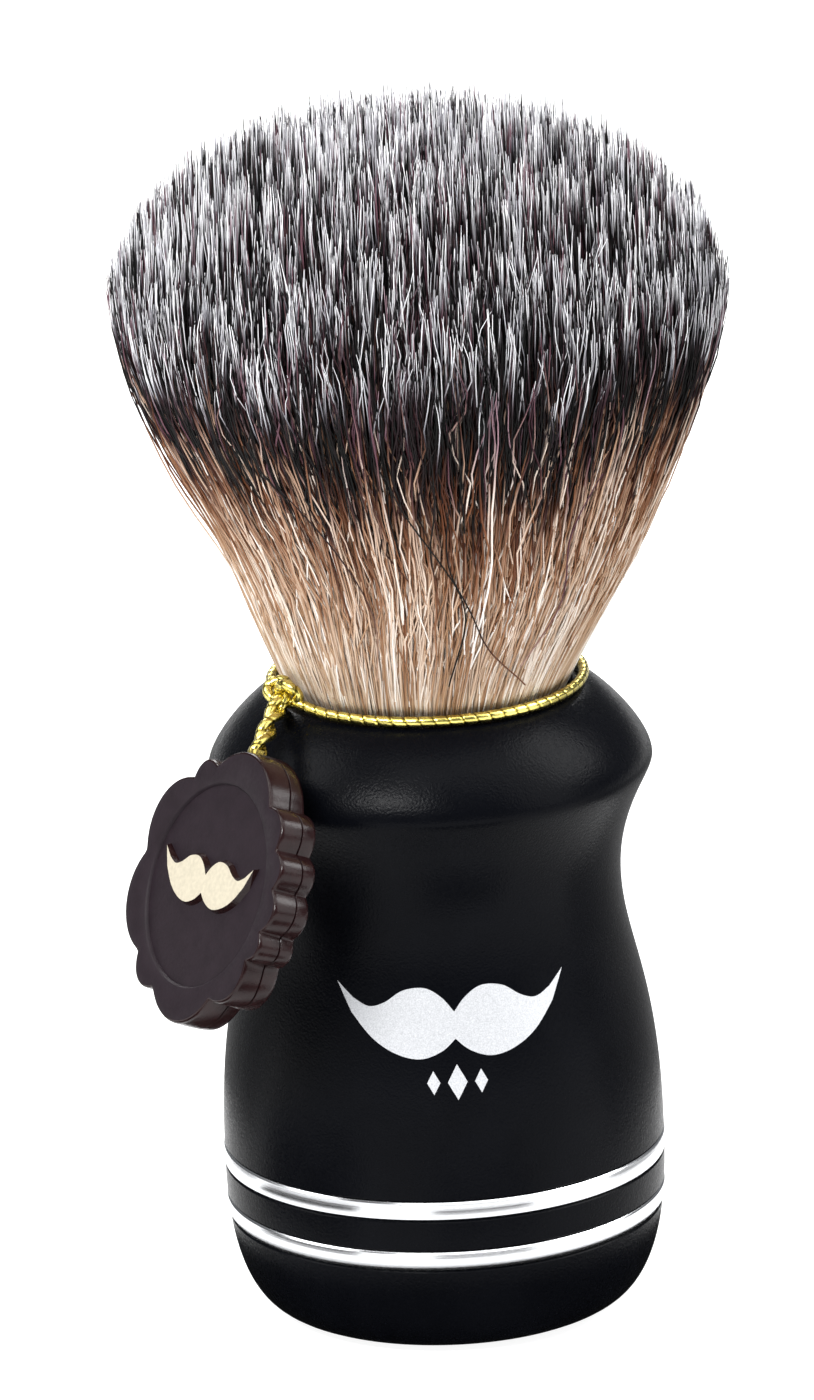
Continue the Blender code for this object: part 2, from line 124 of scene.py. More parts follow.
# Fibres. The shell's run from the root to the rim, and the crown's fill the dome inside it.
FIBRE_RADIUS = 0.092 * MM
TIP_RADIUS = 0.022 * MM
TIP_DROP = 2.1 * MM
DEEPEST_TIP = 6.0 * MM
TALLEST_TIP = 1.1 * MM
CLUMP_DROP = 0.7 * MM
DROP_LEAD = 0.4 * MM
TAPER_LENGTH = 9.0 * MM
STRAY_LIFT = 0.35 * MM
STRAY_DARKEST = 4.5 * MM
STRAY_BLUNTNESS = 3 * MM
SHELL_FIBRES = 6600
CROWN_FIBRES = 13500
SHELL_INNERMOST_COSINE = 0.52
CROWN_LARGEST_SHARE = 0.955
CROWN_FIBRE_LENGTH = 21 * MM
FIBRES_PER_CLUMP = 5
CLUMP_PULL = 0.5
CLUMP_REACH = 11 * MM
FLYAWAY_SHARE = 0.02
SHARED_TONE_SHARE = 0.4
# Wavelengths and the lift of a loose fibre are in mm.
LONG_WAVES = (9, 19)
SHORT_WAVES = (5, 9)
SHORT_WAVE_SHARE = 0.35
OUTWARD_WAVE_SHARE = 0.55
CALM_AT_ROOT = 0.25
FLYAWAY_LIFT = (0.3, 1.2)
# Dye, with painted shade added on sunk tips and on the crown's front tips. The span is the distance from the
# tip that U = 1 stands for.
FIBRE_SPAN = 64.0 * MM
TONE_BANDS = 64
SUNK_TIP_PAINTED_SHADE = 0.85
SIDE_BAND_RISE = 0.36
FRONT_TIP_PAINTED_SHADE = 2.1 * MM
TIP_SHADE_REACH = 8.0 * MM

# Cord
CORD_RADIUS = 0.47 * MM
LOOP_RADIUS = 13.4 * MM
LOOP_HEIGHT = 56.15 * MM
KNOT_BEARING = math.radians(212.2)
KNOT_REACH = 14.6 * MM
KNOT_HEIGHT = 57.2 * MM
# Strip wound round the core. Its groove's sizes are shares of the pitch and of the radius.
STRIP_PITCH = 1.2 * MM
STRIP_TONES = 4000
ROWS_PER_STRIP = 11
CORD_SIDES = 14
GROOVE_HALF_SHARE = 0.13
GROOVE_DEPTH = 0.20
KNOT_HALF_SIZES = (1.95 * MM, 1.65 * MM, 0.55 * MM)
LOOP_OPENING = 1.1 * MM
LOOP_END_SHARE = 0.045
LOOP_END_LIFT = 0.8
KNOT_STEPS = 180
LOOP_STEPS = 240
STRAND_TURNS = 1.75
STRAND_RADIUS = 0.94 * CORD_RADIUS
# How far in mm each strand is from their middle line, by its share of the way.
STRAND_SPLAY = ((0, 0.3), (0.1, 0.46), (0.72, 0.46), (1.0, 0.40))
# Where the strands bend into the seal, before and after its top.
BEND_BEFORE = 1.6 * MM
BEND_AFTER = 1.0 * MM
CORD_IN_SEAL = 2.2 * MM

# Seal
SEAL_TOP = Vector((-14.61, -14.50, 54.29)) * MM
SEAL_FACING = math.radians(-60.2)
SEAL_TILT = math.radians(-22.8)
SEAL_LEAN = math.radians(-5.5)
SEAL_NOTCH_RADIUS = 10.2 * MM
SEAL_LOBE = 2.0 * MM
SEAL_NOTCHES = (-138, -113, -62, -30, -14, 7, 26, 50, 105, 125, 172)
NARROW_LOBE = 22
NOTCH_SOFTNESS = 0.12
SEAL_THICKNESS = 3.6 * MM
SEAL_FRONT_THICKNESS = 2.1 * MM
SEAL_HANG = 11.9 * MM
SEAL_FACE_RADIUS = 8.8 * MM
SEAL_FACE_DEPTH = 0.3 * MM
CORD_HOLE_RADIUS = 0.95 * MM
SEAL_STEPS = 320
GLOSSY_RIM = 0.35 * MM
EMBLEM_HALF_WIDTH = 7.0 * MM
EMBLEM_HEIGHT = 0.5 * MM
EMBLEM_DRAFT = 0.28 * MM

# Print on the handle
PRINT_HALF_WIDTH = 10.2 * MM
PRINT_HEIGHT = 30.2 * MM
PRINT_BEARING = math.radians(4.0)
PRINT_THICKNESS = 0.03 * MM
PRINT_GRID = 0.6 * MM
# Where each lozenge under the moustache is, and its half sizes, in half widths of the print.
LOZENGE_DROP = -0.46
LOZENGES = ((-0.2, (0.055, 0.10)), (0, (0.0825, 0.15)), (0.2, (0.055, 0.10)))

# The studio. Angles are in degrees.
FLOOR_GAP = 0.02 * MM
AIM_HEIGHT = 55 * MM
CAMERA_SPOT = (-1.8 * MM, -1150 * MM, 409 * MM)
CAMERA_LOOKS_DOWN = 17.155
CAMERA_ROLL = -2.18

rng = np.random.default_rng(7)


# --- materials


class Shader:
    """A Principled material and short ways to add nodes to it."""

    def __init__(self, name):
        self.mat = bpy.data.materials.new(name)
        self.mat.use_nodes = True
        self.tree = self.mat.node_tree
        self.bsdf = self.tree.nodes["Principled BSDF"]

    def node(self, kind, **values):
        made = self.tree.nodes.new(kind)
        for key, value in values.items():
            if key in made.inputs:
                made.inputs[key].default_value = value
            else:
                setattr(made, key, value)
        return made

    def link(self, source, target):
        self.tree.links.new(source, target)

    def drive(self, socket, source):
        self.link(source, self.bsdf.inputs[socket])

    def put(self, **values):
        for key, value in values.items():
            self.bsdf.inputs[key.replace("_", " ")].default_value = value

    def noise(self, scale, detail=2.0, stretch=None, seed=0.0):
        """Noise in the object's own metres. Scale is in features per metre."""
        where = self.node("ShaderNodeTexCoord").outputs["Object"]
        stretch = stretch or (1.0, 1.0, 1.0)
        mapping = self.node("ShaderNodeMapping", Scale=stretch, Location=(seed, seed, seed))
        self.link(where, mapping.inputs["Vector"])
        made = self.node("ShaderNodeTexNoise", Scale=scale, Detail=detail)
        self.link(mapping.outputs[0], made.inputs["Vector"])
        return made.outputs["Fac"]

    def ramp(self, source, *stops):
        made = self.node("ShaderNodeValToRGB")
        points = made.color_ramp.elements
        while len(points) < len(stops):
            points.new(0.5)
        for point, (place, colour) in zip(points, stops):
            point.position = place
            point.color = (*colour, 1.0)
        self.link(source, made.inputs["Fac"])
        return made.outputs["Color"]

    def spread(self, source, low, high):
        """Maps 0.3 to 0.7, which is where noise mostly lies, onto low to high."""
        limits = {"From Min": 0.3, "From Max": 0.7, "To Min": low, "To Max": high}
        made = self.node("ShaderNodeMapRange", **limits)
        self.link(source, made.inputs["Value"])
        return made.outputs["Result"]

    def maths(self, operation, first, second):
        made = self.node("ShaderNodeMath", operation=operation)
        for socket, value in zip(made.inputs, (first, second)):
            if isinstance(value, (int, float)):
                socket.default_value = value
            else:
                self.link(value, socket)
        return made.outputs[0]

    def bump(self, *layers):
        """Each layer is a height source and the distance it stands for, in metres."""
        last = None
        for source, distance in layers:
            made = self.node("ShaderNodeBump", Strength=1.0, Distance=distance)
            self.link(source, made.inputs["Height"])
            if last:
                self.link(last, made.inputs["Normal"])
            last = made.outputs["Normal"]
        self.link(last, self.bsdf.inputs["Normal"])


def plain(name, dark, light, scale, rough, bump, metallic=0.0, specular=0.5, stretch=None):
    """A material whose colour and roughness vary a little, with a fine relief."""
    s = Shader(name)
    grain = s.noise(scale, 3.0, stretch)
    s.drive("Base Color", s.ramp(grain, (0.3, dark), (0.7, light)))
    s.drive("Roughness", s.spread(s.noise(scale * 0.6, 2.0, stretch, 3.0), *rough))
    s.bump((grain, bump))
    s.put(Metallic=metallic, Specular_IOR_Level=specular)
    return s.mat


def lacquer():
    """Satin black with an orange-peel skin and the faintest blue."""
    s = Shader("satin_black_lacquer")
    cloud = s.noise(160.0, 3.0)
    s.drive("Base Color", s.ramp(cloud, (0.3, (0.0014, 0.0016, 0.0025)), (0.7, (0.0023, 0.0026, 0.0038))))
    peel = s.noise(4800.0, 1.5)
    s.drive("Roughness", s.spread(s.noise(2600.0, 2.0, seed=5.0), 0.24, 0.32))
    s.bump((peel, 0.028 * MM), (s.noise(900.0, 1.0, seed=9.0), 0.010 * MM))
    s.put(Specular_IOR_Level=0.042)
    return s.mat


def aluminium():
    """Polished, with the fine rings that turning leaves."""
    s = Shader("turned_aluminium")
    lines = s.noise(1.0, 4.0, stretch=(30.0, 30.0, 14000.0))
    s.drive("Base Color", s.ramp(lines, (0.3, (0.62, 0.63, 0.65)), (0.7, (0.75, 0.76, 0.78))))
    s.drive("Roughness", s.spread(lines, 0.16, 0.27))
    s.bump((lines, 0.004 * MM))
    s.put(Metallic=1.0)
    return s.mat


def silver_print():
    s = Shader("silver_print")
    flake = s.noise(9000.0, 2.0)
    s.drive("Base Color", s.ramp(flake, (0.3, (0.42, 0.43, 0.45)), (0.7, (0.60, 0.61, 0.63))))
    s.drive("Roughness", s.spread(flake, 0.30, 0.45))
    s.bump((flake, 0.004 * MM))
    s.put(Metallic=0.25)
    return s.mat


def fibre_material():
    """Silver-white tips, a near-black band and ivory below, by the distance that U carries: the distance from
    the tip, lengthened as painted shade on sunk tips and on front tips.
    """
    s = Shader("synthetic_fibre")
    uv = s.node("ShaderNodeUVMap", uv_map="OFBake")
    split = s.node("ShaderNodeSeparateXYZ")
    s.link(uv.outputs["UV"], split.inputs["Vector"])
    band = s.maths("FLOOR", s.maths("MULTIPLY", split.outputs["Y"], float(TONE_BANDS)), 0.0)
    luck = s.node("ShaderNodeTexWhiteNoise", noise_dimensions="1D")
    s.link(band, luck.inputs["W"])
    other = s.node("ShaderNodeTexWhiteNoise", noise_dimensions="1D")
    s.link(s.maths("ADD", band, 0.37), other.inputs["W"])
    shift = s.maths("MULTIPLY", s.maths("SUBTRACT", luck.outputs["Value"], 0.40), 13.0 * MM / FIBRE_SPAN)
    from_tip = s.maths("ADD", split.outputs["X"], shift)
    mm = MM / FIBRE_SPAN
    colour = s.ramp(
        from_tip,
        (0.0, (0.87, 0.87, 0.88)),
        (1.8 * mm, (0.66, 0.655, 0.675)),
        (3.6 * mm, (0.18, 0.14, 0.16)),
        (5.4 * mm, (0.10, 0.045, 0.062)),
        (10.3 * mm, (0.094, 0.036, 0.048)),
        (12.9 * mm, (0.23, 0.132, 0.112)),
        (15.8 * mm, (0.59, 0.465, 0.385)),
        (21.0 * mm, (0.72, 0.60, 0.51)),
        (29.0 * mm, (0.82, 0.735, 0.66)),
        (1.0, (0.97, 0.95, 0.91)),
    )
    tone = s.node("ShaderNodeMapRange", **{"To Min": 6.6, "To Max": 0.4})
    s.link(other.outputs["Value"], tone.inputs["Value"])
    deepened = s.node("ShaderNodeGamma")
    s.link(colour, deepened.inputs["Color"])
    s.link(tone.outputs["Result"], deepened.inputs["Gamma"])
    s.drive("Base Color", deepened.outputs["Color"])
    s.put(Roughness=0.5, Specular_IOR_Level=0.22)
    return s.mat


def core_material():
    """What shows between the fibres: the shaded depth of the knot."""
    s = Shader("knot_depth")
    height = s.node("ShaderNodeSeparateXYZ")
    s.link(s.node("ShaderNodeTexCoord").outputs["Object"], height.inputs["Vector"])
    ragged = s.maths("MULTIPLY", s.noise(1.0, 3.0, stretch=(1500.0, 1500.0, 120.0)), 8.0 * MM)
    level = s.maths("MULTIPLY", s.maths("ADD", height.outputs["Z"], ragged), 10.0)
    beige, brown, black = (0.26, 0.18, 0.13), (0.05, 0.028, 0.026), (0.008, 0.006, 0.008)
    s.drive("Base Color", s.ramp(level, (0.66, beige), (0.73, brown), (0.78, black)))
    s.put(Roughness=0.8, Specular_IOR_Level=0.2)
    return s.mat


def tinsel():
    """Bright gold strip, dark and olive in the grooves between its turns."""
    s = Shader("gold_tinsel")
    groove = s.node("ShaderNodeAttribute", attribute_name="strip").outputs["Fac"]
    tone = s.node("ShaderNodeAttribute", attribute_name="turn_tone").outputs["Fac"]
    gold = s.ramp(groove, (0.0, (0.05, 0.042, 0.008)), (0.35, (0.34, 0.26, 0.035)), (0.8, (0.86, 0.73, 0.20)))
    shaded = s.node("ShaderNodeVectorMath", operation="SCALE")
    s.link(gold, shaded.inputs[0])
    s.link(s.maths("ADD", s.maths("MULTIPLY", tone, 0.45), 0.62), shaded.inputs["Scale"])
    s.drive("Base Color", shaded.outputs["Vector"])
    s.bump((s.noise(9000.0, 2.0), 0.008 * MM))
    s.put(Metallic=1.0, Roughness=0.24)
    return s.mat


def seal_material(name, rough, dark, light, specular):
    s = Shader(name)
    s.drive("Base Color", s.ramp(s.noise(700.0, 3.0), (0.3, dark), (0.7, light)))
    grain = s.noise(9500.0, 1.0)
    s.drive("Roughness", s.spread(s.noise(3000.0, 2.0, seed=4.0), *rough))
    s.bump((grain, 0.010 * MM), (s.noise(1200.0, 2.0, seed=2.0), 0.006 * MM))
    s.put(Specular_IOR_Level=specular)
    return s.mat


# --- meshes


def placed(name, data):
    """A new object in the scene."""
    obj = bpy.data.objects.new(name, data)
    bpy.context.scene.collection.objects.link(obj)
    return obj


def mesh_of(bm, name):
    mesh = bpy.data.meshes.new(name)
    bm.to_mesh(mesh)
    bm.free()
    return mesh


def shown(name, mesh, mats, body, nodes):
    """An object that moves with a body, if one is given, and stands for the given CAD nodes."""
    obj = placed(name, mesh)
    for mat in mats:
        mesh.materials.append(mat)
    if body:
        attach(obj, body)
    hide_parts(*nodes)
    return obj


def finished(bm, name, sharp=35.0):
    """The mesh of a bmesh, with normals outwards and only real corners kept sharp."""
    bmesh.ops.recalc_face_normals(bm, faces=bm.faces)
    mesh = mesh_of(bm, name)
    mesh.shade_smooth()
    mesh.set_sharp_from_angle(angle=math.radians(sharp))
    return mesh


def bridge(bm, first, second):
    """Faces between two rings of vertices. A ring of one vertex is a point on the axis."""
    count = max(len(first), len(second))
    if count == 1:
        return
    for i in range(count):
        j = (i + 1) % count
        corners = [first[i % len(first)], first[j % len(first)]]
        corners += [second[j % len(second)], second[i % len(second)]]
        bm.faces.new(list(dict.fromkeys(corners)))


def turned(name, profile, ring=False):
    """A mesh turned round Z from (radius, height) points."""
    bm = bmesh.new()
    rings = []
    for radius, height in profile:
        if radius == 0:
            rings.append([bm.verts.new((0, 0, height))])
            continue
        turns = [2 * math.pi * i / TURN_STEPS for i in range(TURN_STEPS)]
        rings.append([bm.verts.new((radius * math.cos(t), radius * math.sin(t), height)) for t in turns])
    for first, second in zip(rings, rings[1:]):
        bridge(bm, first, second)
    if ring:
        bridge(bm, rings[-1], rings[0])
    return finished(bm, name)


def arc_between(*corners):
    """(radius, height) points along a Bezier curve, without the last one."""
    points = [Vector(corner) for corner in corners]
    return [tuple(point) for point in interpolate_bezier(*points, CURVE_STEPS + 1)][:-1]


def upper_outline():
    """The handle's outer side from its mouth down to the upper ring's top."""
    mouth = (MOUTH_RADIUS, HANDLE_TOP)
    lip = (MOUTH_RADIUS + LIP_REACH, HANDLE_TOP - LIP_DROP)
    above_shoulder = (SHOULDER_RADIUS, SHOULDER_HEIGHT + SHOULDER_ROUND_ABOVE)
    shoulder = (SHOULDER_RADIUS, SHOULDER_HEIGHT)
    below_shoulder = (SHOULDER_RADIUS, SHOULDER_HEIGHT - SHOULDER_ROUND_BELOW)
    above_waist = (WAIST_RADIUS, WAIST_HEIGHT + WAIST_PULL_ABOVE)
    waist = (WAIST_RADIUS, WAIST_HEIGHT)
    below_waist = (WAIST_RADIUS, WAIST_HEIGHT - WAIST_PULL_BELOW)
    above_belly = (BELLY_RADIUS, UPPER_RING_TOP + BELLY_PULL)
    belly = (BELLY_RADIUS, UPPER_RING_TOP)
    outline = arc_between(mouth, lip, above_shoulder, shoulder)
    outline += arc_between(shoulder, below_shoulder, above_waist, waist)
    outline += arc_between(waist, below_waist, above_belly, belly)
    return outline


def handle_radius(height):
    outline = upper_outline()[::-1]
    return float(np.interp(height, [h for _, h in outline], [r for r, _ in outline]))


def heel_radius(height):
    """The outer side below the belly, a superellipse that ends on the foot's rim."""
    share = (HEEL_TOP - height) / (HEEL_TOP - GAP)
    if share <= 0:
        return BELLY_RADIUS
    bulge = (1 - min(share, 1) ** HEEL_ROUNDNESS) ** (1 / HEEL_ROUNDNESS)
    return FOOT_RADIUS + (BELLY_RADIUS - FOOT_RADIUS) * bulge


def handle_profile():
    bottom = UPPER_RING_TOP + SEAM / 2
    weight_top = SPIGOT_BOTTOM + WEIGHT_HEIGHT + 2 * GAP
    insert_top = SPIGOT_BOTTOM + INSERT_LENGTH + 2 * GAP
    profile = [
        (0, SOCKET_FLOOR),
        (SOCKET_RADIUS, SOCKET_FLOOR),
        (SOCKET_RADIUS, HANDLE_TOP - EASE),
        (SOCKET_RADIUS + EASE, HANDLE_TOP),
    ]
    profile += upper_outline()
    profile += [
        (BELLY_RADIUS, bottom + EASE),
        (BELLY_RADIUS - EASE, bottom),
        (SPIGOT_RADIUS, bottom),
        (SPIGOT_RADIUS, SPIGOT_BOTTOM),
        (WEIGHT_RADIUS + GAP, SPIGOT_BOTTOM),
        (WEIGHT_RADIUS + GAP, weight_top),
        (BOSS_RADIUS, weight_top),
        (BOSS_RADIUS, SPIGOT_BOTTOM),
        (INSERT_RADIUS + GAP, SPIGOT_BOTTOM),
        (INSERT_RADIUS + GAP, insert_top),
        (0, insert_top),
    ]
    return profile


def ring_profile(bottom, top, proud):
    """A ring over the spigot. Its outer side follows the heel and has eased edges."""
    bottom += SEAM / 2
    top -= SEAM / 2
    inner = SPIGOT_RADIUS + GAP
    profile = [(inner, top), (heel_radius(top) + proud - EASE, top)]
    for step in range(RING_STEPS + 1):
        share = step / RING_STEPS
        height = top - EASE - (top - bottom - 2 * EASE) * share
        crown = RING_CROWN * (1 - (2 * share - 1) ** 2) if proud else 0.0
        profile.append((heel_radius(height) + proud + crown, height))
    profile += [(heel_radius(bottom) + proud - EASE, bottom), (inner, bottom)]
    return profile


def base_profile():
    rim_top = LOWER_RING_BOTTOM - SEAM / 2
    web_top = SPIGOT_BOTTOM - GAP
    recess_top = PAD_THICKNESS + GAP
    side_top = rim_top - EASE
    profile = [
        (SCREW_RADIUS + GAP, web_top),
        (SPIGOT_RADIUS + GAP, web_top),
        (SPIGOT_RADIUS + GAP, rim_top),
        (heel_radius(rim_top) - EASE, rim_top),
    ]
    for step in range(CURVE_STEPS, -1, -1):
        height = GAP + (side_top - GAP) * math.sin(step * math.pi / 2 / CURVE_STEPS) ** 2
        profile.append((heel_radius(height), height))
    profile += [
        (PAD_RADIUS + GAP, GAP),
        (PAD_RADIUS + GAP, recess_top),
        (WASHER_RADIUS + GAP, recess_top),
        (WASHER_RADIUS + GAP, WEB_BOTTOM),
        (SCREW_RADIUS + GAP, WEB_BOTTOM),
    ]
    return profile


def make_handle():
    black = lacquer()
    bright = aluminium()
    body = turned("handle_body_fine", handle_profile())
    shown("handle_body_fine", body, [black], "handle", ["handle_body"])
    stack = [
        ("upper_trim_ring", UPPER_RING_BOTTOM, UPPER_RING_TOP, bright, "bright_aluminium", RING_PROUD),
        ("trim_spacer", LOWER_RING_TOP, UPPER_RING_BOTTOM, black, "black_lacquer", 0.0),
        ("lower_trim_ring", LOWER_RING_BOTTOM, LOWER_RING_TOP, bright, "bright_aluminium", RING_PROUD),
    ]
    for name, bottom, top, mat, slot, proud in stack:
        mesh = turned(name + "_fine", ring_profile(bottom, top, proud), ring=True)
        shown(name + "_fine", mesh, [mat], "handle", [name])
    base = turned("handle_base_fine", base_profile(), ring=True)
    shown("handle_base_fine", base, [black], "handle", ["handle_base"])


# --- ornament


def moustache():
    """A curled moustache one unit wide to each side, round from its middle notch."""
    lower = [(0.00, -0.10), (0.12, -0.20), (0.30, -0.26), (0.50, -0.22), (0.70, -0.10), (0.88, 0.10)]
    tip = [(1.00, 0.34)]
    upper = [(0.86, 0.22), (0.72, 0.16), (0.58, 0.20), (0.42, 0.30), (0.24, 0.32), (0.10, 0.24), (0.00, 0.12)]
    half = smooth_line(lower) + tip + smooth_line(upper)
    return half + [(-x, z) for x, z in reversed(half[1:-1])]


def smooth_line(points, steps=6):
    """Points along a smooth curve through the given ones."""
    ends = [points[0]] + list(points) + [points[-1]]
    line = []
    for before, start, end, after in zip(ends, ends[1:], ends[2:], ends[3:]):
        for step in range(steps):
            t = step / steps
            line.append(tuple(spline_value(*axis, t) for axis in zip(before, start, end, after)))
    return line + [tuple(points[-1])]


def spline_value(before, start, end, after, t):
    """One coordinate of a Catmull-Rom curve between start and end."""
    slope = (end - before) * t
    bend = (2 * before - 5 * start + 4 * end - after) * t**2
    twist = (3 * start - before - 3 * end + after) * t**3
    return start + (slope + bend + twist) / 2


def lozenge(x, z, half_width, half_height):
    return [(x - half_width, z), (x, z - half_height), (x + half_width, z), (x, z + half_height)]


def flat_shape(outlines, scale, grid):
    """Flat faces in XZ inside these outlines, cut into cells so that they can be wrapped round a curve."""
    bm = bmesh.new()
    for outline in outlines:
        bm.faces.new([bm.verts.new((x * scale, 0, z * scale)) for x, z in outline])
    for axis in (Vector((1, 0, 0)), Vector((0, 0, 1))):
        for cut in range(-int(scale / grid), int(scale / grid) + 1):
            geometry = bm.verts[:] + bm.edges[:] + bm.faces[:]
            bmesh.ops.bisect_plane(bm, geom=geometry, plane_co=axis * cut * grid, plane_no=axis)
    bmesh.ops.triangulate(bm, faces=[face for face in bm.faces if len(face.verts) > 4])
    return bm


def way_out(vert):
    """The direction out of a flat shape at a corner of its rim, and zero inside it."""
    way = Vector()
    for edge in vert.link_edges:
        if edge.is_boundary:
            first, second = (corner.co for corner in edge.verts)
            side = (second - first).cross(Vector((0, 1, 0))).normalized()
            inside = edge.link_faces[0].calc_center_median()
            way += side if side.dot(first - inside) > 0 else -side
    return way.normalized() if way.length > 0 else way


def make_print():
    """The silver ornament on the belly, a thin skin that follows the handle."""
    lozenges = [lozenge(x, LOZENGE_DROP, *half_sizes) for x, half_sizes in LOZENGES]
    bm = flat_shape([moustache()] + lozenges, PRINT_HALF_WIDTH, PRINT_GRID)
    outer = bm.faces[:]
    extruded = bmesh.ops.extrude_face_region(bm, geom=outer, use_keep_orig=True)["geom"]
    raised = {v for v in extruded if isinstance(v, bmesh.types.BMVert)}
    for vert in bm.verts:
        lift = PRINT_THICKNESS if vert in raised else -PRINT_THICKNESS
        height = PRINT_HEIGHT + vert.co.z
        radius = handle_radius(height)
        turn = PRINT_BEARING + vert.co.x / radius
        vert.co = Vector((math.sin(turn), -math.cos(turn), 0)) * (radius + lift) + Vector((0, 0, height))
    mesh = finished(bm, "handle_print")
    shown("handle_print", mesh, [silver_print()], "handle", [])


# --- cord


def along_path(points, spacing):
    """Points at an even spacing along a smooth line, with a frame that doesn't twist at each of them."""
    points = np.array(points, float)
    steps = np.linalg.norm(np.diff(points, axis=0), axis=1)
    run = np.concatenate([[0], np.cumsum(steps)])
    lengths = np.linspace(0, run[-1], max(8, int(run[-1] / spacing)))
    places = np.stack([np.interp(lengths, run, points[:, axis]) for axis in range(3)], axis=1)
    heading = np.gradient(places, axis=0)
    heading /= np.linalg.norm(heading, axis=1)[:, None]
    side = np.cross(heading[0], (0.3, 0.2, 0.93))
    sides = []
    for direction in heading:
        side = side - direction * (side @ direction)
        side /= np.linalg.norm(side)
        sides.append(side)
    sides = np.array(sides)
    return lengths, places, sides, np.cross(heading, sides)


def wound_cord(name, points, radius=CORD_RADIUS):
    """A cord of metallised strip wound round a core, as one closed tube with a helical groove."""
    lengths, places, sides, ups = along_path(points, STRIP_PITCH / ROWS_PER_STRIP)
    turns = np.arange(CORD_SIDES) / CORD_SIDES
    angle = 2 * math.pi * turns
    phase = lengths[:, None] / STRIP_PITCH - turns[None, :]
    within = phase - np.floor(phase)
    strip = np.clip(np.minimum(within, 1 - within) / GROOVE_HALF_SHARE, 0, 1)
    reach = radius * (1 - GROOVE_DEPTH + GROOVE_DEPTH * strip**0.7)
    across = reach * np.cos(angle)[None, :]
    upward = reach * np.sin(angle)[None, :]
    ring = places[:, None, :] + sides[:, None, :] * across[..., None] + ups[:, None, :] * upward[..., None]
    end = (len(lengths) - 1) * CORD_SIDES
    faces = []
    for here in range(0, end, CORD_SIDES):
        for k in range(CORD_SIDES):
            m = (k + 1) % CORD_SIDES
            faces.append((here + k, here + m, here + CORD_SIDES + m, here + CORD_SIDES + k))
    faces.append(tuple(range(CORD_SIDES))[::-1])
    faces.append(tuple(range(end, end + CORD_SIDES)))
    mesh = bpy.data.meshes.new(name)
    mesh.from_pydata(ring.reshape(-1, 3).tolist(), [], faces)
    mesh.shade_smooth()
    tones = np.random.default_rng(len(name)).random(STRIP_TONES)
    whole = (np.floor(phase).astype(int) + 7) % len(tones)
    for attribute, values in (("strip", strip), ("turn_tone", tones[whole])):
        made = mesh.attributes.new(attribute, "FLOAT", "POINT")
        made.data.foreach_set("value", values.reshape(-1).astype(np.float32))
    return mesh


def knot_centre():
    reach = Vector((math.cos(KNOT_BEARING), math.sin(KNOT_BEARING), 0)) * KNOT_REACH
    return reach + Vector((0, 0, KNOT_HEIGHT))


def loop_points():
    """Round the neck from one side of the knot to the other, lifting a little into it at both ends."""
    opening = LOOP_OPENING / LOOP_RADIUS
    points = []
    for share in np.linspace(0, 1, LOOP_STEPS + 1).tolist():
        bearing = KNOT_BEARING + opening + (2 * math.pi - 2 * opening) * share
        near = max(0.0, 1 - min(share, 1 - share) / LOOP_END_SHARE)
        reach = LOOP_RADIUS + near**2 * (KNOT_REACH - LOOP_RADIUS) * LOOP_END_LIFT
        lift = near**2 * (KNOT_HEIGHT - LOOP_HEIGHT) * LOOP_END_LIFT
        points.append((reach * math.cos(bearing), reach * math.sin(bearing), LOOP_HEIGHT + lift))
    return points


def overhand_points():
    """A tight trefoil that faces outwards, which is what a pulled-up overhand knot looks like."""
    outward = Vector((math.cos(KNOT_BEARING), math.sin(KNOT_BEARING), 0.25)).normalized()
    beside = Vector((0, 0, 1)).cross(outward).normalized()
    upward = outward.cross(beside)
    centre = knot_centre()
    half_width, half_height, half_depth = KNOT_HALF_SIZES
    points = []
    for step in range(KNOT_STEPS + 1):
        t = 2 * math.pi * step / KNOT_STEPS + 0.4
        across = (math.sin(t) + 2 * math.sin(2 * t)) / 3 * half_width
        up = (math.cos(t) - 2 * math.cos(2 * t)) / 3 * half_height
        out = -math.sin(3 * t) * half_depth
        points.append(centre + beside * across + upward * up + outward * out)
    return points


def leash_line(seal_down):
    """The middle line of the two strands: off the knot, over to the seal's top and down into its hole."""
    start = knot_centre()
    towards = (SEAL_TOP - start).normalized()
    turn_in = SEAL_TOP - towards * BEND_BEFORE
    turn_out = SEAL_TOP + seal_down * BEND_AFTER
    line = [start.lerp(turn_in, i / 10) for i in range(10)]
    for i in range(13):
        t = i / 12
        line.append(turn_in * (1 - t) ** 2 + SEAL_TOP * 2 * t * (1 - t) + turn_out * t**2)
    line.append(SEAL_TOP + seal_down * CORD_IN_SEAL)
    return line


def strand_points(line, phase):
    _, places, sides, ups = along_path(line, 0.1 * MM)
    share = np.linspace(0, 1, len(places))
    angle = phase + share * STRAND_TURNS * 2 * math.pi
    offset = np.interp(share, *zip(*STRAND_SPLAY)) * MM
    shift = sides * np.cos(angle)[:, None] + ups * np.sin(angle)[:, None]
    return places + shift * offset[:, None]


def make_cord(seal_down):
    gold = tinsel()
    loop = wound_cord("cord_loop_wound", loop_points())
    shown("cord_loop_wound", loop, [gold], "neck_cord", ["cord_loop"])
    knot = wound_cord("cord_knot_tied", overhand_points())
    shown("cord_knot_tied", knot, [gold], "neck_cord", ["cord_knot"])
    line = leash_line(seal_down)
    for name, phase in (("leash_strand_a", 0.6), ("leash_strand_b", 0.6 + math.pi)):
        mesh = wound_cord(name + "_wound", strand_points(line, phase), STRAND_RADIUS)
        strand = shown(name + "_wound", mesh, [gold], None, [name])
        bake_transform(strand)


# --- seal


def seal_frame():
    """The seal's own axes: X to its right, Y into it and Z up, from the cord's entry."""
    turn = Matrix.Rotation(SEAL_FACING, 4, "Z")
    turn @= Matrix.Rotation(SEAL_TILT, 4, "X")
    turn @= Matrix.Rotation(SEAL_LEAN, 4, "Y")
    return Matrix.Translation(SEAL_TOP) @ turn


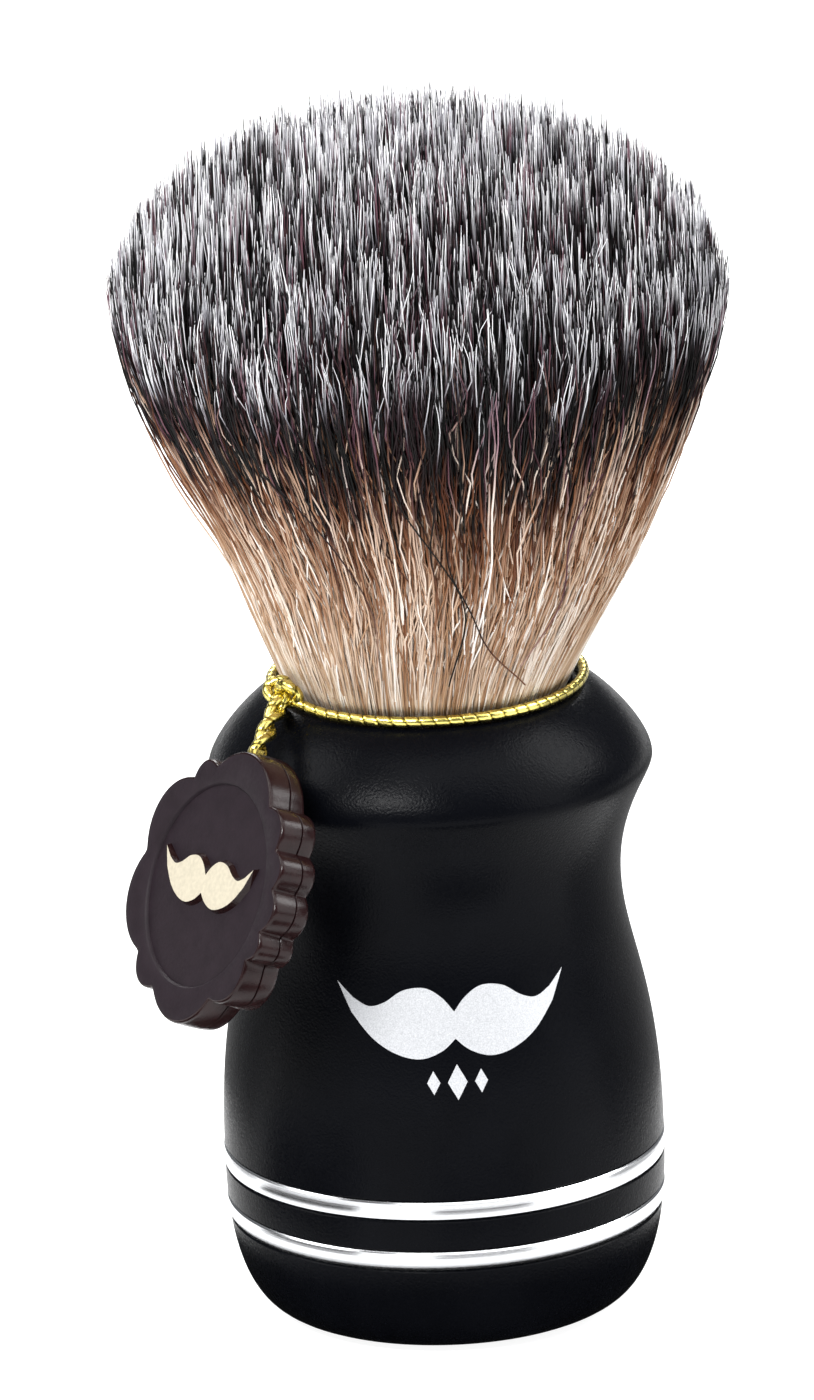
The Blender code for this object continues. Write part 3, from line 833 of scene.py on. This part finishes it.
def seal_radius(bearing):
    """The seal's uneven scalloped rim: a rounded lobe between each two notches, lower where it is narrow."""
    degrees = math.degrees(bearing)
    ends = list(zip(SEAL_NOTCHES, SEAL_NOTCHES[1:] + (SEAL_NOTCHES[0] + 360,)))
    for start, end in ends:
        share = (degrees - start) % 360 / (end - start)
        if share <= 1:
            height = SEAL_LOBE * (1 - math.exp((start - end) / NARROW_LOBE))
            rounded = math.hypot(math.sin(math.pi * share), NOTCH_SOFTNESS) / math.hypot(1, NOTCH_SOFTNESS)
            return SEAL_NOTCH_RADIUS + height * rounded**0.7
    return SEAL_NOTCH_RADIUS


def parting_wave(bearing):
    return (0.11 * math.sin(5 * bearing + 1.0) + 0.06 * math.sin(13 * bearing)) * MM


def seal_ring(bm, frame_matrix, depth, circle=None, inset=0.0, wavy=False):
    """One ring of the seal's surface, round or scalloped, at a depth along its Y."""
    ring = []
    for step in range(SEAL_STEPS):
        bearing = 2 * math.pi * step / SEAL_STEPS
        radius = circle if circle is not None else seal_radius(bearing) - inset
        deep = depth + (parting_wave(bearing) if wavy else 0.0)
        spot = Vector((radius * math.cos(bearing), deep, radius * math.sin(bearing) - SEAL_HANG))
        ring.append(bm.verts.new(frame_matrix @ spot))
    return ring


def seal_half(name, at, rows, mats, hole):
    """A half of the seal, with the cord's hole cut in it. Rows are what seal_ring takes."""
    bm = bmesh.new()
    first, last = rows[0][0], rows[-1][0]
    rings = [[bm.verts.new(at @ Vector((0, first, -SEAL_HANG)))]]
    rings += [seal_ring(bm, at, *row) for row in rows]
    rings.append([bm.verts.new(at @ Vector((0, last, -SEAL_HANG)))])
    for first_ring, second_ring in zip(rings, rings[1:]):
        bridge(bm, first_ring, second_ring)
    mesh = finished(bm, name)
    obj = placed(name, mesh)
    for mat in mats:
        mesh.materials.append(mat)
    cut = obj.modifiers.new("Hole", "BOOLEAN")
    cut.operation = "DIFFERENCE"
    cut.solver = "EXACT"
    cut.object = hole
    evaluated = obj.evaluated_get(bpy.context.evaluated_depsgraph_get())
    whole = bpy.data.meshes.new_from_object(evaluated)
    bpy.data.objects.remove(obj)
    inverse = at.inverted()
    for face in whole.polygons:
        spot = inverse @ face.center
        out = math.hypot(spot.x, spot.z + SEAL_HANG)
        bearing = math.atan2(spot.z + SEAL_HANG, spot.x)
        face.material_index = 1 if out > seal_radius(bearing) - GLOSSY_RIM else 0
    whole.shade_smooth()
    whole.set_sharp_from_angle(angle=math.radians(40))
    return whole


def hole_cutter(at):
    """A round bar through the seal's top, where the cord goes in."""
    bm = bmesh.new()
    depth = 6 * MM
    middle = at @ Matrix.Translation((0, 0, 2 * MM - depth / 2))
    sizes = {"radius1": CORD_HOLE_RADIUS, "radius2": CORD_HOLE_RADIUS, "depth": depth}
    bmesh.ops.create_cone(bm, cap_ends=True, segments=40, matrix=middle, **sizes)
    return placed("hole_cutter", mesh_of(bm, "hole_cutter"))


def make_seal():
    at = seal_frame()
    face = -SEAL_THICKNESS / 2
    parting = face + SEAL_FRONT_THICKNESS
    back = SEAL_THICKNESS / 2
    floor = face + SEAL_FACE_DEPTH
    face_tones = (0.0098, 0.0054, 0.0082), (0.0140, 0.0083, 0.0120)
    rim_tones = (0.0090, 0.0025, 0.0028), (0.0140, 0.0047, 0.0050)
    satin = seal_material("seal_face_satin", (0.50, 0.60), *face_tones, 0.18)
    gloss = seal_material("seal_rim_gloss", (0.17, 0.27), *rim_tones, 0.23)
    front_rows = [
        (floor, 4.0 * MM),
        (floor, SEAL_FACE_RADIUS - 0.22 * MM),
        (floor + 0.02 * MM, SEAL_FACE_RADIUS - 0.10 * MM),
        (face + 0.10 * MM, SEAL_FACE_RADIUS),
        (face, SEAL_FACE_RADIUS + 0.14 * MM),
        (face, None, 0.80 * MM),
        (face, None, 0.30 * MM),
        (face + 0.05 * MM, None, 0.17 * MM),
        (face + 0.16 * MM, None, 0.09 * MM),
        (face + 0.35 * MM, None, 0.05 * MM),
        (parting - 0.45 * MM, None, 0.0, True),
        (parting - 0.10 * MM, None, 0.0, True),
        (parting - 0.02 * MM, None, 0.14 * MM, True),
        (parting - 0.01 * MM, None, 1.0 * MM, True),
        (parting - 0.01 * MM, 6.0 * MM),
    ]
    back_rows = [
        (parting + 0.01 * MM, 6.0 * MM),
        (parting + 0.01 * MM, None, 1.0 * MM, True),
        (parting + 0.02 * MM, None, 0.14 * MM, True),
        (parting + 0.10 * MM, None, 0.02 * MM, True),
        (back - 0.40 * MM, None, 0.05 * MM),
        (back - 0.16 * MM, None, 0.12 * MM),
        (back - 0.04 * MM, None, 0.24 * MM),
        (back, None, 0.40 * MM),
        (back, 8.0 * MM),
    ]
    hole = hole_cutter(at)
    halves = [("seal_front", front_rows), ("seal_back", back_rows)]
    meshes = [(name, seal_half(name + "_moulded", at, rows, [satin, gloss], hole)) for name, rows in halves]
    bpy.data.objects.remove(hole)
    for name, mesh in meshes:
        shown(name + "_moulded", mesh, [], "seal", [name])
    make_seal_emblem(at, floor, gloss)


def make_seal_emblem(at, floor, side_mat):
    """The raised ornament, cream on top and dark on its drafted sides."""
    bm = flat_shape([moustache()], EMBLEM_HALF_WIDTH, 50 * MM)
    bmesh.ops.triangulate(bm, faces=bm.faces[:])
    drafts = {vert: way_out(vert) * EMBLEM_DRAFT for vert in bm.verts}
    extruded = bmesh.ops.extrude_face_region(bm, geom=bm.faces[:], use_keep_orig=True)["geom"]
    raised = {v for v in extruded if isinstance(v, bmesh.types.BMVert)}
    for vert in bm.verts:
        depth = floor - EMBLEM_HEIGHT if vert in raised else floor + 0.05 * MM
        vert.co += drafts.get(vert, Vector())
        vert.co = Vector((vert.co.x, depth, vert.co.z - SEAL_HANG))
    bm.normal_update()
    bmesh.ops.recalc_face_normals(bm, faces=bm.faces)
    for face in bm.faces:
        face.material_index = 0 if face.normal.y < -0.9 else 1
    bm.transform(at)
    mesh = mesh_of(bm, "seal_emblem_raised")
    cream = plain("cream_paint", (0.41, 0.37, 0.285), (0.50, 0.455, 0.35), 2600.0, (0.34, 0.46), 0.006 * MM)
    shown("seal_emblem_raised", mesh, [cream, side_mat], "seal", ["seal_emblem"])


# --- fibres


def envelope_radius(height):
    """The knot's outer radius at a height: a straight flare that eases to upright at the crown."""
    above = np.clip(height - FLARE_TOP, 0, FLARE_EASE)
    flare = NECK_RADIUS + FLARE_SLOPE * (np.minimum(height, FLARE_TOP) - NECK_HEIGHT)
    return flare + FLARE_SLOPE * (above - above**2 / (2 * FLARE_EASE))


def dome_point(turn):
    """Radius and height of the crown's surface at a turn from its apex."""
    radius = CROWN_RADIUS * np.sin(turn) ** (2 / DOME_ROUNDNESS)
    height = CROWN_HEIGHT + (APEX_HEIGHT - CROWN_HEIGHT) * np.cos(turn) ** (2 / DOME_ROUNDNESS)
    return radius, height


def lean(height):
    """How far the knot stands to the right of the handle's axis at a height."""
    share = np.clip((height - NECK_HEIGHT) / LEAN_RISE, 0, 1)
    bow = BOW * np.exp(-(((height - BOW_HEIGHT) / BOW_REACH) ** 2))
    return KNOT_LEAN * share * share * (3 - 2 * share) + bow


def fibre_paths(turn, bearing, start_height, steps, wave, spread):
    """Centre lines from root to tip, one row per fibre, each point's distance from the tip, and the tones."""
    count = len(turn)
    tip_radius, tip_height = dome_point(turn)
    share = tip_radius / envelope_radius(tip_height)
    clump_of, is_leader = clumps(tip_radius, tip_height, bearing)
    drop = rng.exponential(TIP_DROP, count) + rng.normal(0, CLUMP_DROP, count)[clump_of]
    drop = np.clip(drop - DROP_LEAD, -TALLEST_TIP, DEEPEST_TIP)
    tip_height = tip_height - drop
    ease = np.linspace(0, 1, steps + 1)
    ease = 1 - (1 - ease) ** 1.25
    height = start_height[:, None] + (tip_height - start_height)[:, None] * ease
    radius = share[:, None] * envelope_radius(height)
    above = (height - ROOT_HEIGHT) / (APEX_HEIGHT - ROOT_HEIGHT)
    swing = rng.normal(0, spread, (count, 1)) * above**1.5
    lift = rng.normal(0, 1, (2, count, 1))
    first = wave_phase(height, LONG_WAVES)
    second = wave_phase(height, SHORT_WAVES)
    calm = np.clip(above * 5, CALM_AT_ROOT, 1)
    around = (lift[0] * np.sin(first) + SHORT_WAVE_SHARE * lift[1] * np.sin(second)) * wave * calm
    outward = np.cos(first * 0.9 + 1.0) * wave * OUTWARD_WAVE_SHARE * calm
    is_loose = rng.random((count, 1)) < FLYAWAY_SHARE
    flyaway = np.where(is_loose, rng.uniform(*FLYAWAY_LIFT, (count, 1)) * MM, 0)
    outward = outward + flyaway * np.sin(math.pi * np.clip(above * 1.15, 0, 1)) ** 3
    angle = bearing[:, None] + (swing + around) / np.maximum(radius, 2 * MM)
    radius = radius + outward
    x = radius * np.cos(angle) + lean(height)
    y = radius * np.sin(angle)
    paths = np.stack([x, y, height], axis=2)
    from_tip = np.linalg.norm(paths - paths[:, -1:, :], axis=2)
    pull = CLUMP_PULL * np.clip(1 - from_tip / CLUMP_REACH, 0, 1) ** 1.2 * ~is_leader[:, None]
    paths += pull[..., None] * (paths[clump_of] - paths)
    # Painted shade: sunk tips and the crown's front tips are coloured darker.
    shade = dye_and_shade_distance(from_tip, drop, bearing, tip_radius)
    own_band = rng.integers(0, TONE_BANDS, count)
    band = np.where(rng.random(count) < SHARED_TONE_SHARE, own_band[clump_of], own_band)
    return paths, from_tip, shade, band


def wave_phase(height, wavelengths):
    """The phase of a wave along each fibre, whose length and start are its own."""
    count = (len(height), 1)
    return 2 * math.pi * (height / rng.uniform(*wavelengths, count) / MM + rng.random(count))


def dye_and_shade_distance(from_tip, drop, bearing, tip_radius):
    """The distance that picks the colour. The dye band rises at the sides; tips sunk below the crown and tips
    at its front get painted shade, which darkens them.
    """
    to_side = (np.cos(bearing) * tip_radius / CROWN_RADIUS) ** 2
    to_front = (np.clip(-np.sin(bearing), 0, 1) * tip_radius / CROWN_RADIUS) ** 2
    near_tip = np.clip(1 - from_tip / TIP_SHADE_REACH, 0, 1)
    shade = from_tip * (1 + SIDE_BAND_RISE * to_side[:, None])
    # Painted shade: darker front tips of the crown and darker sunk tips.
    shade += FRONT_TIP_PAINTED_SHADE * near_tip * to_front[:, None]
    return shade + SUNK_TIP_PAINTED_SHADE * np.maximum(drop, 0)[:, None]


def clumps(tip_radius, tip_height, bearing):
    """Which fibre each fibre's tip draws towards. Every so many fibres, one leads a clump."""
    tips = np.stack([tip_radius * np.cos(bearing), tip_radius * np.sin(bearing), tip_height], axis=1)
    leaders = np.arange(0, len(tips), FIBRES_PER_CLUMP)
    tree = KDTree(len(leaders))
    for leader in leaders:
        tree.insert(tips[leader], int(leader))
    tree.balance()
    nearest = np.array([tree.find(tip)[1] for tip in tips])
    return nearest, nearest == np.arange(len(tips))


def fibre_mesh(name, paths, from_tip, shade, band):
    """Three-sided tapering fibres. U is the distance that sets the colour and V picks a tone."""
    count, rows, _ = paths.shape
    heading = np.gradient(paths, axis=1)
    heading /= np.linalg.norm(heading, axis=2)[..., None]
    side = np.cross(heading, (0.37, -0.21, 0.05))
    side /= np.linalg.norm(side, axis=2)[..., None]
    other = np.cross(heading, side)
    thick = rng.uniform(0.8, 1.15, (count, 1)) * FIBRE_RADIUS
    taper = np.clip(from_tip / TAPER_LENGTH, 0, 1) ** 0.6
    radius = TIP_RADIUS + (thick - TIP_RADIUS) * taper
    corners = []
    for corner in range(3):
        turn = 2 * math.pi * corner / 3
        offset = side * math.cos(turn) + other * math.sin(turn)
        corners.append(paths + offset * radius[..., None])
    verts = np.stack(corners, axis=2).reshape(-1, 3)

    base = (np.arange(count)[:, None] * rows + np.arange(rows - 1)[None, :])[..., None] * 3
    here = base + np.arange(3)
    after = base + (np.arange(3) + 1) % 3
    quads = np.stack([here, after, after + 3, here + 3], axis=3).reshape(-1)
    foot = (np.arange(count) * rows * 3)[:, None]
    ends = np.concatenate([foot + (2, 1, 0), foot + (rows - 1) * 3 + (0, 1, 2)], axis=1).reshape(-1)
    corner_verts = np.concatenate([quads, ends]).astype(np.int32)
    quad_count = len(quads) // 4
    sizes = np.concatenate([np.full(quad_count, 4), np.full(2 * count, 3)])
    starts = np.concatenate([[0], np.cumsum(sizes)[:-1]]).astype(np.int32)

    mesh = bpy.data.meshes.new(name)
    mesh.vertices.add(len(verts))
    mesh.vertices.foreach_set("co", verts.reshape(-1).astype(np.float32))
    mesh.loops.add(len(corner_verts))
    mesh.loops.foreach_set("vertex_index", corner_verts)
    mesh.polygons.add(len(sizes))
    mesh.polygons.foreach_set("loop_start", starts)
    u = np.repeat((shade / FIBRE_SPAN).reshape(-1), 3)[corner_verts]
    fibre = corner_verts // (rows * 3)
    v = (band[fibre] + 0.35 + 0.15 * (corner_verts % 3)) / TONE_BANDS
    uv = mesh.uv_layers.new(name="OFBake")
    uv.data.foreach_set("uv", np.stack([u, v], axis=1).reshape(-1).astype(np.float32))
    mesh.update(calc_edges=True)
    mesh.shade_smooth()
    return mesh


def make_core():
    """A closed filler inside the fibres, so that light doesn't pass through the knot."""
    turns = np.linspace(0, math.pi / 2, CORE_STEPS)
    radius, height = dome_point(turns)
    radius = (radius * CORE_DOME_SHARE).tolist()
    height = (height - CORE_DEPTH * (1 - 0.4 * turns / (math.pi / 2))).tolist()
    profile = [(0, height[0])] + list(zip(radius[1:], height[1:]))
    for step in range(1, CORE_STEPS + 1):
        level = height[-1] - (height[-1] - ROOT_HEIGHT) * step / CORE_STEPS
        share = CORE_TOP_SHARE + (CORE_FOOT_SHARE - CORE_TOP_SHARE) * step / CORE_STEPS
        profile.append((share * float(envelope_radius(level)), level))
    profile.append((0, ROOT_HEIGHT))
    mesh = turned("bristle_core", profile)
    for vert in mesh.vertices:
        vert.co.x += float(lean(vert.co.z))
    return shown("bristle_core", mesh, [core_material()], "handle", ["bristle_bundle"])


def make_bristles():
    fibre = fibre_material()
    make_core()
    fraction = 1
    shell_count, crown_count = SHELL_FIBRES // fraction, CROWN_FIBRES // fraction
    golden = math.pi * (3 - math.sqrt(5))
    shell_turn = np.arccos(rng.random(shell_count) * SHELL_INNERMOST_COSINE)
    shell_bearing = rng.random(shell_count) * 2 * math.pi
    crown_share = np.sqrt((np.arange(crown_count) + 0.5) / crown_count) * CROWN_LARGEST_SHARE
    crown_turn = np.arcsin(crown_share ** (DOME_ROUNDNESS / 2))
    crown_bearing = np.arange(crown_count) * golden + rng.normal(0, 0.02, crown_count)
    crown_bearing = crown_bearing % (2 * math.pi)
    order = rng.permutation(crown_count)
    crown_turn, crown_bearing = crown_turn[order], crown_bearing[order]
    shell_start = np.full(shell_count, ROOT_HEIGHT)
    crown_start = dome_point(crown_turn)[1] - CROWN_FIBRE_LENGTH
    # Name, turns, bearings, start heights, steps, wave, swing and number of pieces.
    groups = [
        ("shell", shell_turn, shell_bearing, shell_start, 14, 0.42 * MM, 0.9 * MM, 3),
        ("crown", crown_turn, crown_bearing, crown_start, 7, 0.16 * MM, 0.8 * MM, 4),
    ]
    for group, turn, bearing, start, steps, wave, spread, parts in groups:
        paths, from_tip, shade, band = fibre_paths(turn, bearing, start, steps, wave, spread)
        for part, chosen in enumerate(np.array_split(np.argsort(bearing), parts)):
            name = f"bristles_{group}_{part + 1}"
            mesh = fibre_mesh(name, paths[chosen], from_tip[chosen], shade[chosen], band[chosen])
            shown(name, mesh, [fibre], "handle", ["bristle_bundle"])


def make_stray_hairs():
    """A few hairs that lie across the front, each through (bearing in degrees, height in mm) points."""
    hairs = [
        ((-98, 81.0), (-94, 76.0), (-81, 67.0), (-72, 62.5), (-55, 58.5)),
        ((-121, 79.0), (-113, 73.0), (-107, 66.0), (-108, 60.0)),
        ((-86, 78.0), (-87, 72.0), (-82, 66.0), (-84, 59.5)),
        ((-52, 79.0), (-57, 73.0), (-54, 66.0), (-60, 60.5)),
    ]
    paths = []
    for hair in hairs:
        line = np.array(smooth_line(hair, 12))
        rows = np.linspace(0, len(line) - 1, 41)
        degrees, level = (np.interp(rows, np.arange(len(line)), column) for column in line.T)
        turn, height = np.radians(degrees), level * MM
        reach = envelope_radius(height) + STRAY_LIFT
        path = np.stack([reach * np.cos(turn) + lean(height), reach * np.sin(turn), height], axis=1)
        paths.append(path[::-1])
    paths = np.array(paths)
    steps = np.linalg.norm(np.diff(paths, axis=1), axis=2)
    to_tip = np.cumsum(steps[:, ::-1], axis=1)[:, ::-1]
    from_tip = np.concatenate([to_tip, np.zeros((len(paths), 1))], axis=1)
    shade = STRAY_DARKEST + 0.4 * from_tip
    bands = 3 * np.arange(len(paths)) + 5
    mesh = fibre_mesh("bristles_stray", paths, from_tip + STRAY_BLUNTNESS, shade, bands)
    fibre = bpy.data.materials["synthetic_fibre"]
    shown("bristles_stray", mesh, [fibre], "handle", ["bristle_bundle"])


# --- pieces kept from CAD


def dress_kept_nodes():
    """Materials for the inner pieces and the foot, which keep their CAD shapes."""
    zinc = ((0.48, 0.49, 0.51), (0.66, 0.66, 0.64), 2200.0, (0.28, 0.42), 0.01 * MM, 1.0)
    looks = {
        "foot_pad": ((0.020, 0.020, 0.021), (0.035, 0.035, 0.036), 1800.0, (0.75, 0.9), 0.03 * MM, 0.0),
        "ballast_weight": ((0.10, 0.10, 0.11), (0.24, 0.23, 0.22), 900.0, (0.5, 0.75), 0.05 * MM, 1.0),
        "threaded_insert": ((0.62, 0.44, 0.16), (0.80, 0.62, 0.28), 2500.0, (0.28, 0.42), 0.01 * MM, 1.0),
        "assembly_screw": zinc,
        "screw_washer": zinc,
        "epoxy_bed": ((0.46, 0.36, 0.18), (0.62, 0.52, 0.30), 500.0, (0.2, 0.3), 0.02 * MM, 0.0),
        "knot_cup": ((0.52, 0.50, 0.46), (0.66, 0.64, 0.60), 700.0, (0.4, 0.5), 0.01 * MM, 0.0),
        "knot_plug": ((0.30, 0.23, 0.14), (0.50, 0.41, 0.28), 3800.0, (0.3, 0.5), 0.05 * MM, 0.0),
        "seal_cord_end": ((0.70, 0.52, 0.10), (0.92, 0.74, 0.22), 4000.0, (0.2, 0.32), 0.02 * MM, 1.0),
    }
    for node, (dark, light, scale, rough, relief, metallic) in looks.items():
        mat = plain("kept_" + node, dark, light, scale, rough, relief, metallic)
        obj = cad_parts[node]
        obj.data.materials.clear()
        obj.data.materials.append(mat)


# --- studio


def make_floor():
    bm = bmesh.new()
    bmesh.ops.create_grid(bm, x_segments=8, y_segments=8, size=5.0)
    bmesh.ops.translate(bm, verts=bm.verts, vec=(0, 0, -FLOOR_GAP))
    s = Shader("pale_floor")
    greys = s.ramp(s.noise(30.0, 2.0), (0.3, (0.38, 0.38, 0.38)), (0.7, (0.40, 0.40, 0.40)))
    s.drive("Base Color", greys)
    s.put(Roughness=0.9, Specular_IOR_Level=0.1, Emission_Color=(1, 1, 1, 1), Emission_Strength=0.92)
    floor = placed("studio_floor", mesh_of(bm, "studio_floor"))
    floor.data.materials.append(s.mat)


def sector(first, last, step, near, far):
    """The outline of part of a ring round the brush, as (azimuth, distance) corners."""
    azimuths = range(first, last + 1, step)
    return [(azimuth, near) for azimuth in azimuths] + [(azimuth, far) for azimuth in reversed(azimuths)]


def make_flag(name, outline, glow):
    """A card that lies on the floor and is only seen in reflections, as (azimuth, distance) corners."""
    bm = bmesh.new()
    corners = []
    for azimuth, reach in outline:
        a = math.radians(azimuth)
        corners.append(bm.verts.new((math.sin(a) * reach, -math.cos(a) * reach, FLOOR_GAP)))
    bm.faces.new(corners)
    s = Shader(name)
    s.put(Base_Color=(0, 0, 0, 1), Specular_IOR_Level=0.0)
    s.put(Emission_Color=(1, 1, 1, 1), Emission_Strength=glow)
    flag = placed(name, mesh_of(bm, name))
    flag.data.materials.append(s.mat)
    for ray in ("camera", "diffuse", "shadow", "transmission", "volume_scatter"):
        setattr(flag, "visible_" + ray, False)


def soft_light(name, azimuth, elevation, distance, width, height, power):
    """A softbox aimed at the middle of the brush. Azimuth 0 is in front of it and 90 to its right."""
    light = bpy.data.lights.new(name, "AREA")
    light.shape = "RECTANGLE"
    light.size = width
    light.size_y = height
    light.energy = power
    obj = placed(name, light)
    a, e = math.radians(azimuth), math.radians(elevation)
    out = Vector((math.sin(a) * math.cos(e), -math.cos(a) * math.cos(e), math.sin(e)))
    obj.location = Vector((0, 0, AIM_HEIGHT)) + out * distance
    obj.rotation_mode = "QUATERNION"
    obj.rotation_quaternion = out.to_track_quat("Z", "Y")


def make_studio():
    make_floor()
    # Painted shadow: a near-black card round the foot, seen only in reflections, stands in for the brush's
    # shadow on the floor.
    make_flag("heel_painted_shadow_flag", [(azimuth, 29 * MM) for azimuth in range(0, -360, -6)], 0.02)
    make_flag("front_flag", sector(-6, 38, 2, 48 * MM, 78 * MM), 0.10)
    # Painted shadow: a dark card left of the brush, seen only in reflections, stands in for shade on the
    # floor beside the seal.
    make_flag("left_painted_shadow_flag", sector(-95, -40, 5, 45 * MM, 110 * MM), 0.05)
    make_flag("back_flag", sector(85, 255, 5, 68 * MM, 420 * MM), 0.5)
    world = bpy.data.worlds.new("studio")
    world.use_nodes = True
    background = world.node_tree.nodes["Background"]
    background.inputs["Color"].default_value = (0.93, 0.96, 1.0, 1.0)
    background.inputs["Strength"].default_value = 0.16
    bpy.context.scene.world = world
    soft_light("left_box", -50, 24, 0.9, 0.50, 0.70, 1.1)
    soft_light("right_box", 66, 34, 0.9, 0.50, 1.00, 3.9)
    soft_light("key_box", -26, 41, 0.9, 0.40, 0.16, 8.0)
    soft_light("left_wing", -88, 44, 0.9, 0.4, 0.4, 3.0)
    soft_light("right_wing", 98, 42, 0.9, 0.4, 0.5, 5.2)
    soft_light("top_box", 10, 78, 1.0, 0.8, 0.8, 6.5)
    soft_light("back_box", 180, 40, 1.0, 0.8, 0.5, 14.0)
    bpy.context.scene.view_settings.view_transform = "Standard"


def make_camera():
    camera = bpy.data.cameras.new("camera")
    camera.sensor_width = 36.0
    camera.lens = 361.6
    camera.clip_start = 0.05
    camera.clip_end = 30.0
    obj = placed("camera", camera)
    place = Matrix.Translation(CAMERA_SPOT)
    pitch = Matrix.Rotation(math.radians(90 - CAMERA_LOOKS_DOWN), 4, "X")
    roll = Matrix.Rotation(math.radians(CAMERA_ROLL), 4, "Z")
    obj.matrix_world = place @ pitch @ roll
    bpy.context.scene.camera = obj


make_handle()
make_print()
make_cord(-(seal_frame().to_3x3() @ Vector((0, 0, 1))))
make_seal()
make_bristles()
make_stray_hairs()
dress_kept_nodes()
make_studio()
make_camera()
